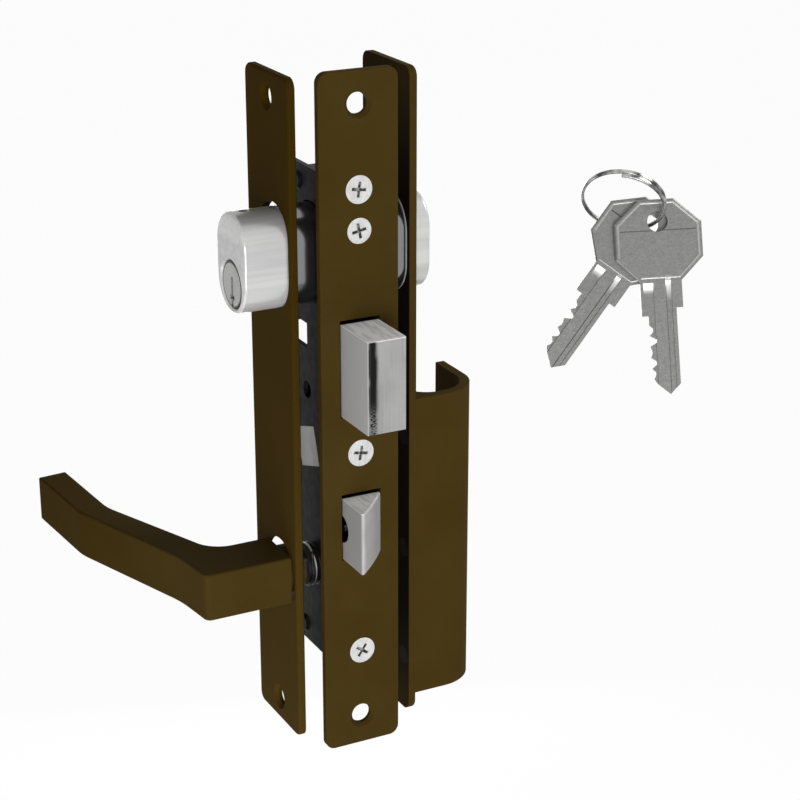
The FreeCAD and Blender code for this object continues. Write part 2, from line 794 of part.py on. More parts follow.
def make_plug(side, sign, reach):
    """Plug with its keyway, pin holes, clip groove and drive end."""
    tag = side.title()

    def span(outer, inner):
        return (f"-({outer})", f"-({inner})") if sign == "-" else (inner, outer)

    axis = ("backset", "plug_z")
    groove_outer = "cam_gap / 2"
    groove_inner = "(cam_gap / 2 - clip_thickness - 2 * running_play)"
    face = f"({reach} - plug_recess)"
    barrel = rod(f"{tag}Barrel", "x", span(f"{face} - plug_chamfer", groove_outer), axis, "plug_radius")
    radii = ("plug_radius - plug_chamfer", "plug_radius")
    nose = cone(f"{tag}Nose", "x", span(face, f"{face} - plug_chamfer"), axis,
                radii if side == "interior" else radii[::-1])
    neck = rod(f"{tag}Neck", "x", span(groove_outer, groove_inner), axis, "groove_radius")
    end = rod(f"{tag}End", "x", span(groove_inner, "plug_end"), axis, "plug_end_radius")
    if side == "interior":
        half = "tang_width / 2"
        drive = box(f"{tag}Tang", span("plug_end", "drive_gap"), (f"backset - {half}", f"backset + {half}"),
                    (f"plug_z - {half}", f"plug_z + {half}"))
    else:
        drive = rod(f"{tag}Pilot", "x", span("plug_end", "drive_gap"), axis, "tang_width / 2")
    blank = fuse(f"{tag}PlugBlank", barrel, nose, neck, end, drive)
    slot_x = span(f"{reach} + past", "cam_gap / 2 + past")

    def slot(name, half, low, high):
        return box(f"{tag}{name}", slot_x, (f"backset - {half}", f"backset + {half}"),
                   (f"plug_z {low}", f"plug_z {high}"))

    keyway = [
        slot("SlotHigh", "key_slot_width / 2", "- key_slot_split - lap", "+ key_slot_above"),
        slot("SlotLobe", "key_slot_lobe / 2", "- key_slot_split - key_slot_lobe_height", "- key_slot_split"),
        slot("SlotFoot", "key_slot_width / 2", "- key_slot_below",
             "- key_slot_split - key_slot_lobe_height + lap"),
    ]
    holes = [
        rod(f"{tag}PinHole{index}", "z", (f"{KEY_TOP} - {depth} - pin_hole_under", f"{PLUG_TOP} + past"),
            (x, "backset"), "pin_radius + running_play")
        for index, (x, depth) in enumerate(zip(pin_places(sign, reach), KEY_CUTS))
    ]
    piece(f"{side}_plug", cut(f"{tag}Plug", blank, *keyway, *holes))
    ring_x = span("cam_gap / 2 - running_play", "cam_gap / 2 - running_play - clip_thickness")
    ring = rod(f"{tag}ClipRing", "x", ring_x, axis, "clip_radius")
    bore = rod(f"{tag}ClipBore", "x", ring_x, axis, "groove_radius + running_play")
    mouth = box(f"{tag}ClipMouth", ring_x, ("backset - clip_mouth / 2", "backset + clip_mouth / 2"),
                ("plug_z - clip_radius - past", "plug_z"))
    piece(f"{side}_plug_clip", cut(f"{tag}Clip", ring, bore, mouth))


def make_cam():
    """Cam with the arm that throws the deadbolt, in its rest place."""
    axis = ("backset", "plug_z")
    half = "cam_width / 2"
    hub = rod("CamHub", "x", (f"-{half}", half), ("0", "0"), "cam_hub_radius")
    arm = doc.addObject("PartDesign::Body", "CamArm")
    blade = outline(arm, "YZ_Plane", "CamArmOutline", [
        ("-cam_arm_root / 2", "0"), ("-cam_neck / 2", "-(cam_reach - cam_tip_radius)"),
        ("-cam_neck / 2", "-cam_reach"), ("cam_neck / 2", "-cam_reach"),
        ("cam_neck / 2", "-(cam_reach - cam_tip_radius)"), ("cam_arm_root / 2", "0"),
    ])
    pad(arm, blade, "cam_arm_width", side="Symmetric")
    thick = ("-cam_arm_width / 2", "cam_arm_width / 2")
    tip = rod("CamTip", "x", thick, ("0", "-cam_reach"), "cam_tip_radius")
    blank = fuse("CamBlank", hub, arm, tip)
    swung = turned("CamTurned", blank, (1, 0, 0), "-asin(deadbolt_throw / 2 / cam_reach)", ("0", *axis))
    fit = "(tang_width / 2 + running_play)"
    square = box("CamSquare", (f"-{half} - past", "0"), (f"backset - {fit}", f"backset + {fit}"),
                 (f"plug_z - {fit}", f"plug_z + {fit}"))
    pilot = rod("CamPilot", "x", ("-lap", f"{half} + past"), axis, fit)
    piece("cylinder_cam", cut("Cam", swung, square, pilot))


def make_deadbolt():
    """Square bolt, thrown, with a thinner tail that the cam drives."""
    body = doc.addObject("PartDesign::Body", "Deadbolt")
    half = "deadbolt_width / 2"
    tail = "tail_width / 2"
    nose = "-deadbolt_throw"
    notch = "(backset - deadbolt_throw / 2)"
    notch_half = "(cam_tip_radius + notch_play)"
    tail_back = f"({notch} + {notch_half} + tail_end)"
    plan = outline(body, "XY_Plane", "DeadboltPlan", [
        (f"-{half}", nose), (half, nose), (half, "deadbolt_guide"), (tail, "deadbolt_guide"),
        (tail, tail_back), (f"-{tail}", tail_back), (f"-{tail}", "deadbolt_guide"),
        (f"-{half}", "deadbolt_guide"),
    ])
    pad(body, plan, "deadbolt_height", side="Symmetric")
    round_edges(body, "DeadboltEdge", "deadbolt_edge",
                lambda start, end: near(start.y, nose) and near(end.y, nose))
    top = "deadbolt_height / 2"
    mouth = outline(body, "YZ_Plane", "DeadboltNotch",
                    rectangle((f"{notch} - {notch_half}", f"{notch} + {notch_half}"),
                              (f"{top} - notch_depth", f"{top} + past")))
    pocket(body, mouth, "deadbolt_width", side="Symmetric")
    place(body, ("0", "0", "deadbolt_z"))
    piece("deadbolt", body)


LATCH_HALF = "latch_width / 2"
LUG_FRONT = "(backset - latch_throw / 2 + follower_tip_radius + lug_play)"
BAR_LOW = "(spindle_z + follower_arm + follower_tip_radius + latch_bar_play)"


def make_latch():
    """Bevelled latch bolt with a side recess, its cross pin, tail and spring."""
    nose = "-latch_throw"
    block = doc.addObject("PartDesign::Body", "LatchBlock")
    plan = rectangle((f"-{LATCH_HALF}", LATCH_HALF), (nose, "latch_guide"))
    pad(block, outline(block, "XY_Plane", "LatchPlan", plan), "latch_height", side="Symmetric")
    recess = circles(block, "YZ_Plane", "LatchRecess", [("latch_recess_y", "0", "latch_recess_radius")])
    bind(recess, **{"AttachmentOffset.Base.z": f"-{LATCH_HALF}"})
    pocket(block, recess, "latch_recess_depth", back=True)
    place(block, ("0", "0", "latch_z"))
    centre = (f"-{LATCH_HALF} - latch_bevel_radius * cos(latch_bevel_angle)",
              f"{nose} + latch_bevel_radius * sin(latch_bevel_angle)")
    tall = ("latch_z - latch_height / 2 - past", "latch_z + latch_height / 2 + past")
    wheel = rod("LatchWheel", "z", tall, centre, "latch_bevel_radius")
    bevelled = doc.addObject("Part::MultiCommon", "LatchBevelled")
    bevelled.Shapes = [block, wheel]

    def on_bevel(edge):
        spots = [(vertex.X - number(centre[0]), vertex.Y - number(centre[1])) for vertex in edge.Vertexes]
        return all(near(math.hypot(*spot), "latch_bevel_radius") for spot in spots)

    piece("latch_bolt", rounded("LatchBolt", bevelled, "latch_edge", on_bevel))
    pin_x = (f"-{LATCH_HALF} + latch_pin_inset", f"-{LATCH_HALF} + latch_recess_depth")
    piece("latch_pin", rod("LatchPin", "x", pin_x, ("latch_recess_y", "latch_z"), "latch_pin_radius"))
    half_bar = "latch_bar_width / 2"
    half_lug = "latch_lug_width / 2"
    bar_high = f"{BAR_LOW} + latch_bar_height"
    lug_back = f"({LUG_FRONT} + latch_lug_thickness)"
    bar = box("LatchBar", (f"-{half_bar}", half_bar), ("latch_guide", lug_back), (BAR_LOW, bar_high))
    lug = box("LatchLug", (f"-{half_lug}", half_lug), (LUG_FRONT, lug_back),
              (f"{BAR_LOW} - follower_tip_radius * 2 - latch_bar_play", bar_high))
    piece("latch_tail", fuse("LatchTail", bar, lug))
    spring_y = (lug_back, "case_depth - case_wall")
    middle = ("0", f"{BAR_LOW} + latch_spring_rise")
    coil = rod("LatchCoil", "y", spring_y, middle, "latch_spring_radius")
    hollow = rod("LatchCoilHollow", "y", spring_y, middle, "latch_spring_radius - latch_spring_wire")
    piece("latch_spring", cut("LatchSpring", coil, hollow))


def make_follower():
    """Follower with its arm at rest, and the square spindle."""
    half = f"({CASE_INSIDE} - follower_play)"
    hub = rod("FollowerHub", "x", (f"-{half}", half), ("0", "0"), "follower_radius")
    journal = rod("FollowerJournal", "x", ("-journal_reach", CASE_SIDE), ("0", "0"), "journal_radius")
    thick = "follower_arm_thickness / 2"
    wide = "follower_arm_width / 2"
    arm = box("FollowerArm", (f"-{thick}", thick), (f"-{wide}", wide), ("0", "follower_arm"))
    tip = rod("FollowerTip", "x", (f"-{thick}", thick), ("0", "follower_arm"), "follower_tip_radius")
    hole = "(spindle_size / 2 + spindle_play)"
    blank = fuse("FollowerBlank", hub, journal, arm, tip)
    swung = turned("FollowerTurned", blank, (1, 0, 0), "asin(latch_throw / 2 / follower_arm)",
                   ("0", "backset", "spindle_z"))
    square = box("FollowerSquare", ("-journal_reach - past", f"{CASE_SIDE} + past"),
                 (f"backset - {hole}", f"backset + {hole}"), (f"spindle_z - {hole}", f"spindle_z + {hole}"))
    piece("follower", cut("Follower", swung, square))
    body = doc.addObject("PartDesign::Body", "Spindle")
    side = "spindle_size / 2"
    section = outline(body, "YZ_Plane", "SpindleSection", rectangle((f"-{side}", side), (f"-{side}", side)))
    pad(body, section, f"spindle_interior + {CASE_SIDE} - spindle_inset", back=True)
    round_edges(body, "SpindleEdges", "spindle_edge", upright(anywhere, 0))
    place(body, (f"{CASE_SIDE} - spindle_inset", "backset", "spindle_z"))
    piece("spindle", body)


def make_lever():
    """Bent rectangular lever with its spigot and grub screw."""
    body = doc.addObject("PartDesign::Body", "Lever")
    root = f"-({PLATE_OUTSIDE['interior']} + neck_standoff)"
    back = "(neck_front + neck_width)"
    plan = outline(body, "XY_Plane", "LeverPlan", [
        (root, "neck_front"), (root, back),
        ("-(grip_start_x - grip_thickness - grip_root_inset)", back),
        ("-(grip_knee_x - grip_thickness)", "grip_knee"),
        ("-(grip_end_x - grip_thickness)", "grip_end + grip_end_slant"), ("-grip_end_x", "grip_end"),
        ("-grip_knee_x", "grip_knee"), ("-grip_start_x", "grip_start"), ("-lever_reach", "neck_front"),
    ])
    pad(body, plan, "lever_height", side="Symmetric")
    round_edges(body, "LeverCorner", "lever_corner",
                upright(lambda x, y: near(x, "-lever_reach") and near(y, "neck_front"), 2))
    round_edges(body, "LeverInnerBend", "lever_inner_bend",
                upright(lambda x, y: near(y, back) and x < number(root) - number("lap"), 2))
    round_edges(body, "LeverOuterBend", "lever_outer_bend", upright(lambda x, y: near(y, "grip_start"), 2))
    round_edges(body, "LeverKnee", "lever_knee_bend", upright(lambda x, y: near(y, "grip_knee"), 2))
    half_high = "lever_height / 2"

    def level_and_clear_of_plate(start, end):
        return near(start.z - end.z, "0") and max(start.x, end.x) < number(f"{root} - lap")

    round_edges(body, "LeverEdge", "lever_edge", level_and_clear_of_plate)
    spigot = circles(body, "YZ_Plane", "LeverSpigot", [("backset", "0", "lever_spigot_radius")])
    bind(spigot, **{"AttachmentOffset.Base.z": root})
    pad(body, spigot, "lever_spigot")
    hole = "(spindle_size / 2 + spindle_play)"
    square = outline(body, "YZ_Plane", "LeverSquare",
                     rectangle((f"backset - {hole}", f"backset + {hole}"), (f"-{hole}", hole)))
    bind(square, **{"AttachmentOffset.Base.z": "-(spindle_interior + spindle_end_play)"})
    pocket(body, square, "spindle_interior", back=True)
    tapping = circles(body, "XY_Plane", "LeverTapping", [("-grub_x", "backset", "grub_radius")])
    bind(tapping, **{"AttachmentOffset.Base.z": f"-{half_high} - past"})
    pocket(body, tapping, f"{half_high} - spindle_size / 2 + past", back=True)
    place(body, ("0", "0", "spindle_z"))
    piece("lever_handle", body)
    low = f"spindle_z - {half_high} + grub_recess"
    high = "spindle_z - spindle_size / 2"
    grub = rod("GrubBlank", "z", (low, high), ("-grub_x", "backset"), "grub_radius")
    socket = rod("GrubSocket", "z", (f"{low} - past", f"{low} + grub_socket_depth"), ("-grub_x", "backset"),
                 "grub_socket_radius")
    piece("lever_grub_screw", cut("LeverGrubScrew", grub, socket))


def wind(turns, arcs, radius, pitch, first_angle, leg=0.0):
    """Path of equal arcs, so many a turn, that climbs along Z, with a straight leg at each end."""
    steps = round(turns * arcs) * 2
    points = []
    for step in range(steps + 1):
        angle = first_angle + math.pi / arcs * step
        height = pitch * step / (2 * arcs)
        points.append(FreeCAD.Vector(radius * math.cos(angle), radius * math.sin(angle), height))
    edges_along = [Part.Arc(*points[index:index + 3]).toShape() for index in range(0, steps, 2)]
    if leg:
        first = edges_along[0].tangentAt(edges_along[0].FirstParameter)
        last = edges_along[-1].tangentAt(edges_along[-1].LastParameter)
        edges_along.insert(0, Part.LineSegment(points[0] - first * leg, points[0]).toShape())
        edges_along.append(Part.LineSegment(points[-1], points[-1] + last * leg).toShape())
    return Part.Wire(edges_along)


def tube(name, path, wire, placement):
    """Round wire along a path."""
    first = path.Edges[0]
    start = first.valueAt(first.FirstParameter)
    section = Part.Wire([Part.makeCircle(wire / 2, start, first.tangentAt(first.FirstParameter))])
    wound = doc.addObject("Part::Feature", name)
    wound.Shape = path.makePipeShell([section], True, False)
    wound.Placement = placement
    return wound


def least_gap(path, radius, wire):
    """Least gap between turns, measured on points half a turn or more apart."""
    points = path.discretize(Number=GAP_POINTS)
    lengths = [0.0]
    for before, after in zip(points, points[1:]):
        lengths.append(lengths[-1] + before.distanceToPoint(after))
    return min(
        (one.distanceToPoint(other) - wire
         for low, one in enumerate(points) for high, other in enumerate(points)
         if lengths[high] - lengths[low] > math.pi * radius),
        default=math.inf)


def make_follower_spring():
    """Torsion spring that returns the lever, round the follower's journal."""
    wire = number("spring_wire")
    radius = number("spring_radius")
    path = wind(SPRING_TURNS, SPRING_ARCS, radius, number("spring_pitch"), math.pi, number("spring_leg"))
    start = number(f"-({CASE_SIDE} + spring_gap + spring_wire / 2)")
    sideways = FreeCAD.Rotation(FreeCAD.Vector(0, 1, 0), -90)
    spot = FreeCAD.Vector(start, number("backset"), number("spindle_z"))
    piece("follower_spring", tube("FollowerSpring", path, wire, FreeCAD.Placement(spot, sideways)))
    print("follower_spring: least gap", round(least_gap(path, radius, wire), 3), "mm")


def make_plate(side):
    """Escutcheon plate of one side, rounded on its outer edges."""
    tag = side.title()
    outwards = "-" if side == "interior" else ""
    body = doc.addObject("PartDesign::Body", f"{tag}Plate")
    blank = outline(body, "YZ_Plane", f"{tag}PlateOutline",
                    rectangle(("plate_front", PLATE_BACK), (PLATE_LOW, PLATE_HIGH)))
    pad(body, blank, PLATE_THICKNESS[side], back=side == "interior")
    round_edges(body, f"{tag}PlateCorners", "plate_corner", upright(anywhere, 0))
    face = f"{outwards}{PLATE_THICKNESS[side]}"
    round_edges(body, f"{tag}PlateEdge", "plate_edge",
                lambda start, end: near(start.x, face) and near(end.x, face))
    place(body, (f"{outwards}{PLATE_INSIDE}", "0", "0"))
    outside = PLATE_OUTSIDE[side]
    span = tuple(f"{outwards}({x})" for x in (f"{PLATE_INSIDE} - past", f"{outside} + past"))
    if side == "interior":
        span = span[::-1]
    rise = "plate_oval_rise" if side == "interior" else "0"
    tools = [oval(f"{tag}PlateOval", span, "oval_play", rise)]
    for index, height in enumerate((f"{PLATE_HIGH} - plate_hole_inset", f"{PLATE_LOW} + plate_hole_inset")):
        spot = (PLATE_CENTRE, height)
        tools.append(rod(f"{tag}PlateHole{index}", "x", span, spot, "plate_hole_radius"))
        sink = (f"{outwards}({outside} - plate_sink_radius + plate_hole_radius)", f"{outwards}({outside})")
        radii = ("plate_hole_radius", "plate_sink_radius")
        if side == "interior":
            sink, radii = sink[::-1], radii[::-1]
        tools.append(cone(f"{tag}PlateSink{index}", "x", sink, spot, radii))
    if side == "interior":
        tools.append(rod("LeverHole", "x", span, ("backset", "spindle_z"), "lever_hole_radius"))
        recess = (f"-({PLATE_INSIDE} + lever_recess_depth)", f"past - {PLATE_INSIDE}")
        tools.append(rod("LeverRecess", "x", recess, (PLATE_CENTRE, "spindle_z"), "lever_recess_radius"))
    else:
        seat = box("PullSeat", (PLATE_INSIDE, outside), ("plate_front", "plate_front + plate_edge"),
                   ("pull_bottom", "pull_top"))
        body = fuse("ExteriorPlateSeated", body, seat)
        head = "pull_screw_head_radius + screw_play"
        hole = "pull_screw_radius + screw_play"
        for index, spot in enumerate(PULL_SCREWS):
            tools.append(rod(f"PullHole{index}", "x", span, spot, hole))
            tools.append(cone(f"PullSink{index}", "x", (PLATE_INSIDE, f"{PLATE_INSIDE} + {head} - ({hole})"),
                              spot, (head, hole)))
    piece(f"{side}_escutcheon", cut(f"{tag}Escutcheon", body, *tools))


PULL_SCREW_Y = "plate_front + pull_screw_inset"
PULL_SCREWS = (
    (PULL_SCREW_Y, "pull_top - pull_screw_margin"),
    (PULL_SCREW_Y, "(pull_top + pull_bottom) / 2"),
    (PULL_SCREW_Y, "pull_bottom + pull_screw_margin"),
)


def make_pull():
    """Pull bent from thick sheet, open at the back, and its screws."""
    body = doc.addObject("PartDesign::Body", "Pull")
    inner = "plate_front + pull_wall"
    edge = "plate_front + pull_depth"
    outside = PLATE_OUTSIDE["exterior"]
    lip = f"{outside} + pull_lip"
    plan = outline(body, "XY_Plane", "PullPlan", [
        (outside, "plate_front"), ("pull_reach", "plate_front"), ("pull_reach", edge),
        ("pull_reach - pull_wall", edge), ("pull_reach - pull_wall", inner), (lip, inner),
        (lip, f"{inner} + pull_foot"), (outside, f"{inner} + pull_foot"),
    ])
    pad(body, plan, "pull_top - pull_bottom")
    round_edges(body, "PullBend", "pull_bend",
                upright(lambda x, y: near(x, "pull_reach") and near(y, "plate_front"), 2))
    round_edges(body, "PullInnerBend", "pull_bend - pull_wall",
                upright(lambda x, y: near(x, "pull_reach - pull_wall") and near(y, inner), 2))
    round_edges(body, "PullFoot", "pull_foot_bend", upright(lambda x, y: near(x, lip) and near(y, inner), 2))
    place(body, ("0", "0", "pull_bottom"))
    tip = f"{PLATE_INSIDE} + pull_screw_length"
    tappings = [rod(f"PullTapping{index}", "x", (PLATE_INSIDE, tip), spot, "pull_screw_radius + screw_play")
                for index, spot in enumerate(PULL_SCREWS)]
    piece("pull_handle", cut("PullHandle", body, *tappings))
    screws = []
    for index, spot in enumerate(PULL_SCREWS):
        neck = f"{PLATE_INSIDE} + pull_screw_head_radius - pull_screw_radius"
        head = cone(f"PullScrewHead{index}", "x", (PLATE_INSIDE, neck), spot,
                    ("pull_screw_head_radius", "pull_screw_radius"))
        shank = rod(f"PullScrewShank{index}", "x", (neck, tip), spot, "pull_screw_radius")
        screws.append(fuse(f"PullScrew{index}", head, shank))
    piece("pull_screws", group("PullScrews", screws))


def towards_viewer():
    """Right, up and outward directions of the plane in which the key set is shown."""
    turn = math.radians(number("keys_turn_angle"))
    lean = math.radians(number("keys_lean_angle"))
    right = FreeCAD.Vector(math.cos(turn), -math.sin(turn), 0)
    out = FreeCAD.Vector(-math.sin(turn) * math.cos(lean), -math.cos(turn) * math.cos(lean), math.sin(lean))
    return right, out.cross(right), out


def shown_at(across, up, near_by, rotation):
    """Placement in the key set's plane, from millimetres right, up and towards the viewer."""
    right, above, out = towards_viewer()
    frame = FreeCAD.Rotation(right, above, out, "XYZ")
    return FreeCAD.Placement(right * across + above * up + out * near_by, frame * rotation)


def key_corners():
    """Outline of a key round its hole, from the top of the head down the cut side."""
    half_head = "key_head_width / 2"
    half_flat = "key_head_flat / 2"
    half_collar = "key_collar_width / 2"
    half_blade = "key_blade_width / 2"
    shoulder = "(key_head_bottom + key_collar_cut_side)"
    tip = f"({shoulder} + key_blade_length)"
    corners = [
        (half_flat, "key_head_top"), (f"-{half_flat}", "key_head_top"),
        (f"-{half_head}", "-key_head_upper"), (f"-{half_head}", "-key_head_lower"),
        (f"-{half_collar}", "-key_head_bottom"), (f"-{half_collar}", f"-{shoulder}"),
        (f"-{half_blade}", f"-{shoulder}"),
    ]
    for index, depth in enumerate(KEY_CUTS):
        middle = f"({shoulder} + pin_first + {index} * pin_pitch)"
        if index == 0:
            corners.append((f"-{half_blade}", f"-({middle} - key_cut_flat / 2 - {depth})"))
        else:
            shallow = f"min({depth}; {KEY_CUTS[index - 1]})"
            corners.append((f"-({half_blade} - {shallow} + min(key_cut_rise; {shallow}))",
                            f"-({middle} - pin_pitch / 2)"))
        corners.append((f"-({half_blade} - {depth})", f"-({middle} - key_cut_flat / 2)"))
        corners.append((f"-({half_blade} - {depth})", f"-({middle} + key_cut_flat / 2)"))
    corners += [
        (f"-({half_blade} - key_end_rise)",
         f"-({shoulder} + pin_first + {PIN_COUNT - 1} * pin_pitch + key_end_run)"),
        (f"-(key_tip_flat - {half_blade})", f"-({tip} - key_tip_length)"),
        (f"{half_blade} - key_tip_length", f"-{tip}"),
        (half_blade, f"-({tip} - key_tip_length)"),
        (half_blade, "-(key_head_bottom + key_collar_back_side)"),
        (half_collar, "-(key_head_bottom + key_collar_back_side)"),
        (half_collar, "-key_head_bottom"), (half_head, "-key_head_lower"), (half_head, "-key_head_upper"),
    ]
    return corners


def engrave(body, name, corners, sign, depth):
    """Recess of an outline in a key's front face, or with a minus sign in its back face."""
    sketch = outline(body, "XY_Plane", name, corners)
    bind(sketch, **{"AttachmentOffset.Base.z": f"{sign}(key_thickness / 2 - {depth})"})
    pocket(body, sketch, "key_thickness", back=sign == "")


def make_key(side, depth_behind):
    """Flat key with a bevelled eight-sided head, cut along one edge and milled along its blade."""
    tag = side.title()
    body = doc.addObject("PartDesign::Body", f"{tag}Key")
    pad(body, outline(body, "XY_Plane", f"{tag}KeyOutline", key_corners()), "key_thickness", side="Symmetric")

    def round_the_head(start, end):
        flat = near(start.z - end.z, "0") and near(abs(start.z), "key_thickness / 2")
        return flat and min(start.y, end.y) > number("-key_head_bottom - same")

    bevel_edges(body, f"{tag}HeadBevel", "key_head_bevel", round_the_head)
    pocket(body, circles(body, "XY_Plane", f"{tag}KeyHole", [("0", "0", "key_hole_radius")]),
           "key_thickness", side="Symmetric")
    line_half = "(key_head_width / 2 - key_line_inset)"
    line = rectangle((f"-{line_half}", line_half), ("-key_line_down - key_line_width", "-key_line_down"))
    tip = "-(key_head_bottom + key_collar_cut_side + key_blade_length + past)"
    milled = {
        "Flank": (("-key_flank_far", "-key_flank_near"), "-key_flank_start"),
        "Channel": (("key_channel_near", "key_channel_far"), "-key_channel_start"),
    }
    for face, sign in (("Front", ""), ("Back", "-")):
        engrave(body, f"{tag}{face}Line", line, sign, "key_line_depth")
        for name, (across, start) in milled.items():
            engrave(body, f"{tag}{face}{name}", rectangle(across, (tip, start)), sign, "key_groove_depth")
            run_out = body.newObject("PartDesign::SubtractiveCylinder", f"{tag}{face}{name}RunOut")
            run_out.Placement = FreeCAD.Placement(FreeCAD.Vector(), TURN["x"])
            bind(run_out, Radius="key_cutter_radius", Height=f"({across[1]}) - ({across[0]})")
            place(run_out, (across[0], start,
                            f"{sign}(key_thickness / 2 - key_groove_depth + key_cutter_radius)"))
    body.Placement = shown_at(
        number("ring_across") + number(f"{side}_key_across"), number("ring_up") - number(f"{side}_key_down"),
        -depth_behind, FreeCAD.Rotation(FreeCAD.Vector(0, 0, 1), number(f"{side}_key_roll_angle")))
    piece(f"key_{side}", body)


def make_key_set():
    """Two keys on a split ring."""
    make_key("front", 0)
    make_key("back", number("key_thickness + key_gap"))
    wire = number("ring_wire")
    radius = number("ring_radius")
    start_angle = math.radians(number("ring_start_angle"))
    path = wind(RING_TURNS, RING_ARCS, radius, number("ring_pitch"), start_angle)
    roll = FreeCAD.Rotation(FreeCAD.Vector(0, 0, 1), number("ring_roll_angle"))
    tip = FreeCAD.Rotation(FreeCAD.Vector(1, 0, 0), number("ring_tip_angle"))
    placement = shown_at(number("ring_across"), number("ring_up"), number("ring_near"), roll * tip)
    piece("key_ring", tube("KeyRing", path, wire, placement))
    print("key_ring: least gap", round(least_gap(path, radius, wire), 3), "mm")


make_faceplate()
make_case()
make_cylinder_body()
for side_name, reach_size, minus in (("interior", "interior_reach", "-"), ("exterior", "exterior_reach", "")):
    make_plug(side_name, minus, reach_size)
    for kind, solids in make_pins(side_name.title(), reach_size, minus).items():
        piece(f"{side_name}_{kind}", group(f"{side_name.title()}{kind.title().replace('_', '')}", solids))
make_cam()
make_deadbolt()
make_latch()
make_follower()
make_lever()
make_follower_spring()
make_plate("interior")
make_plate("exterior")
make_pull()
make_key_set()

doc.recompute()
for thing in doc.Objects:
    if "Invalid" in thing.State or "Error" in thing.State:
        raise RuntimeError(f"{thing.Name} failed: {thing.State}")
os.makedirs("parts", exist_ok=True)
for node, thing in pieces.items():
    if thing.Shape.isNull() or not thing.Shape.isValid() or not thing.Shape.Solids:
        raise RuntimeError(f"{node} has no valid solid")
    thing.Shape.exportStep(f"parts/{node}.step")
print(len(pieces), "pieces")
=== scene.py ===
"""Looks of a narrow-stile mortise lock with lever, pull, double key cylinder and key ring.

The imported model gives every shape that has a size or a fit. This script dresses those nodes with
procedural finishes, winds the springs that the model holds as plain tubes, lays the relief on the
keys' heads, and sets up a plain pale studio. All lengths are in metres.
"""
from __future__ import annotations

import json
import logging
import math
from dataclasses import dataclass, field
from enum import Enum
from typing import Any, Mapping, Sequence, Union

import bmesh
import bpy
import numpy as np
from mathutils import Matrix, Vector

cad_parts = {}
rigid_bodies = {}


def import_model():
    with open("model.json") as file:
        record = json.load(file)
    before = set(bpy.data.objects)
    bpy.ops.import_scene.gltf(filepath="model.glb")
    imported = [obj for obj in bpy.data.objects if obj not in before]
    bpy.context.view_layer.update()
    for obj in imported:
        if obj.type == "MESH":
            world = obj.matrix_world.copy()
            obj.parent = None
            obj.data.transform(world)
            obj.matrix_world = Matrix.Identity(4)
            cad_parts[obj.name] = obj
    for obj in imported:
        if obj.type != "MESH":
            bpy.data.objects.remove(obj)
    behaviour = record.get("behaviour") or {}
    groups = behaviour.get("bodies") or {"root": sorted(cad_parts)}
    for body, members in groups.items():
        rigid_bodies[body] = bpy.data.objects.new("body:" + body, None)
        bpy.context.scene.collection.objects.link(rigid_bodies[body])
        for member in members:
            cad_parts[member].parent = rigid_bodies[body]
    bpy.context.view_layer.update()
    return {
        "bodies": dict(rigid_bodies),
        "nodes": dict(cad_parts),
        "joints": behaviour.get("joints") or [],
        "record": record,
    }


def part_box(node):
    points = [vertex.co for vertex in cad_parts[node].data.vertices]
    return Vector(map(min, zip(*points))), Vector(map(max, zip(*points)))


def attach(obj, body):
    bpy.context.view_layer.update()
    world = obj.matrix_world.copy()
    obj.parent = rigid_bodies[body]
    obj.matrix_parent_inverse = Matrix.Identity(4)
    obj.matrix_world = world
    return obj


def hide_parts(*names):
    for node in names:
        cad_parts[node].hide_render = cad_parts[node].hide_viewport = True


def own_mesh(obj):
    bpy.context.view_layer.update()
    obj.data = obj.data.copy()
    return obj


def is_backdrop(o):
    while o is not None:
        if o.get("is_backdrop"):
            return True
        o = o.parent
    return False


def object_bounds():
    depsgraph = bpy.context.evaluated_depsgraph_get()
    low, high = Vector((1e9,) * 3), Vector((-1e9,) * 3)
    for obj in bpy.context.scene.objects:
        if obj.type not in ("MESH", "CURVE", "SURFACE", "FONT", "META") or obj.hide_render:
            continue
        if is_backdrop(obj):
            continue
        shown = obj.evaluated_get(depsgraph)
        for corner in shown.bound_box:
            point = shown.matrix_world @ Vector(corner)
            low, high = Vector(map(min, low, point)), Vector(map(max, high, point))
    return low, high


LOG = logging.getLogger("lock")
MM = 0.001
WHITE = (1.0, 1.0, 1.0, 1.0)

Number = Union[float, int, "Term"]
Shade = tuple[int, int, int]
Span = tuple[float, float]
Triple = tuple[float, float, float]


def srgb(red: float, green: float, blue: float) -> tuple[float, float, float, float]:
    """Linear colour of an sRGB colour given as 0 to 255.

    Formula: c / 12.92 below 0.04045, otherwise ((c + 0.055) / 1.055) to the power 2.4.

    Args:
        red: red part.
        green: green part.
        blue: blue part.

    Returns:
        The linear colour with an alpha of 1.
    """
    parts = np.array([red, green, blue]) / 255.0
    linear = np.where(parts <= 0.04045, parts / 12.92, ((parts + 0.055) / 1.055) ** 2.4)
    return (*(float(part) for part in linear), 1.0)


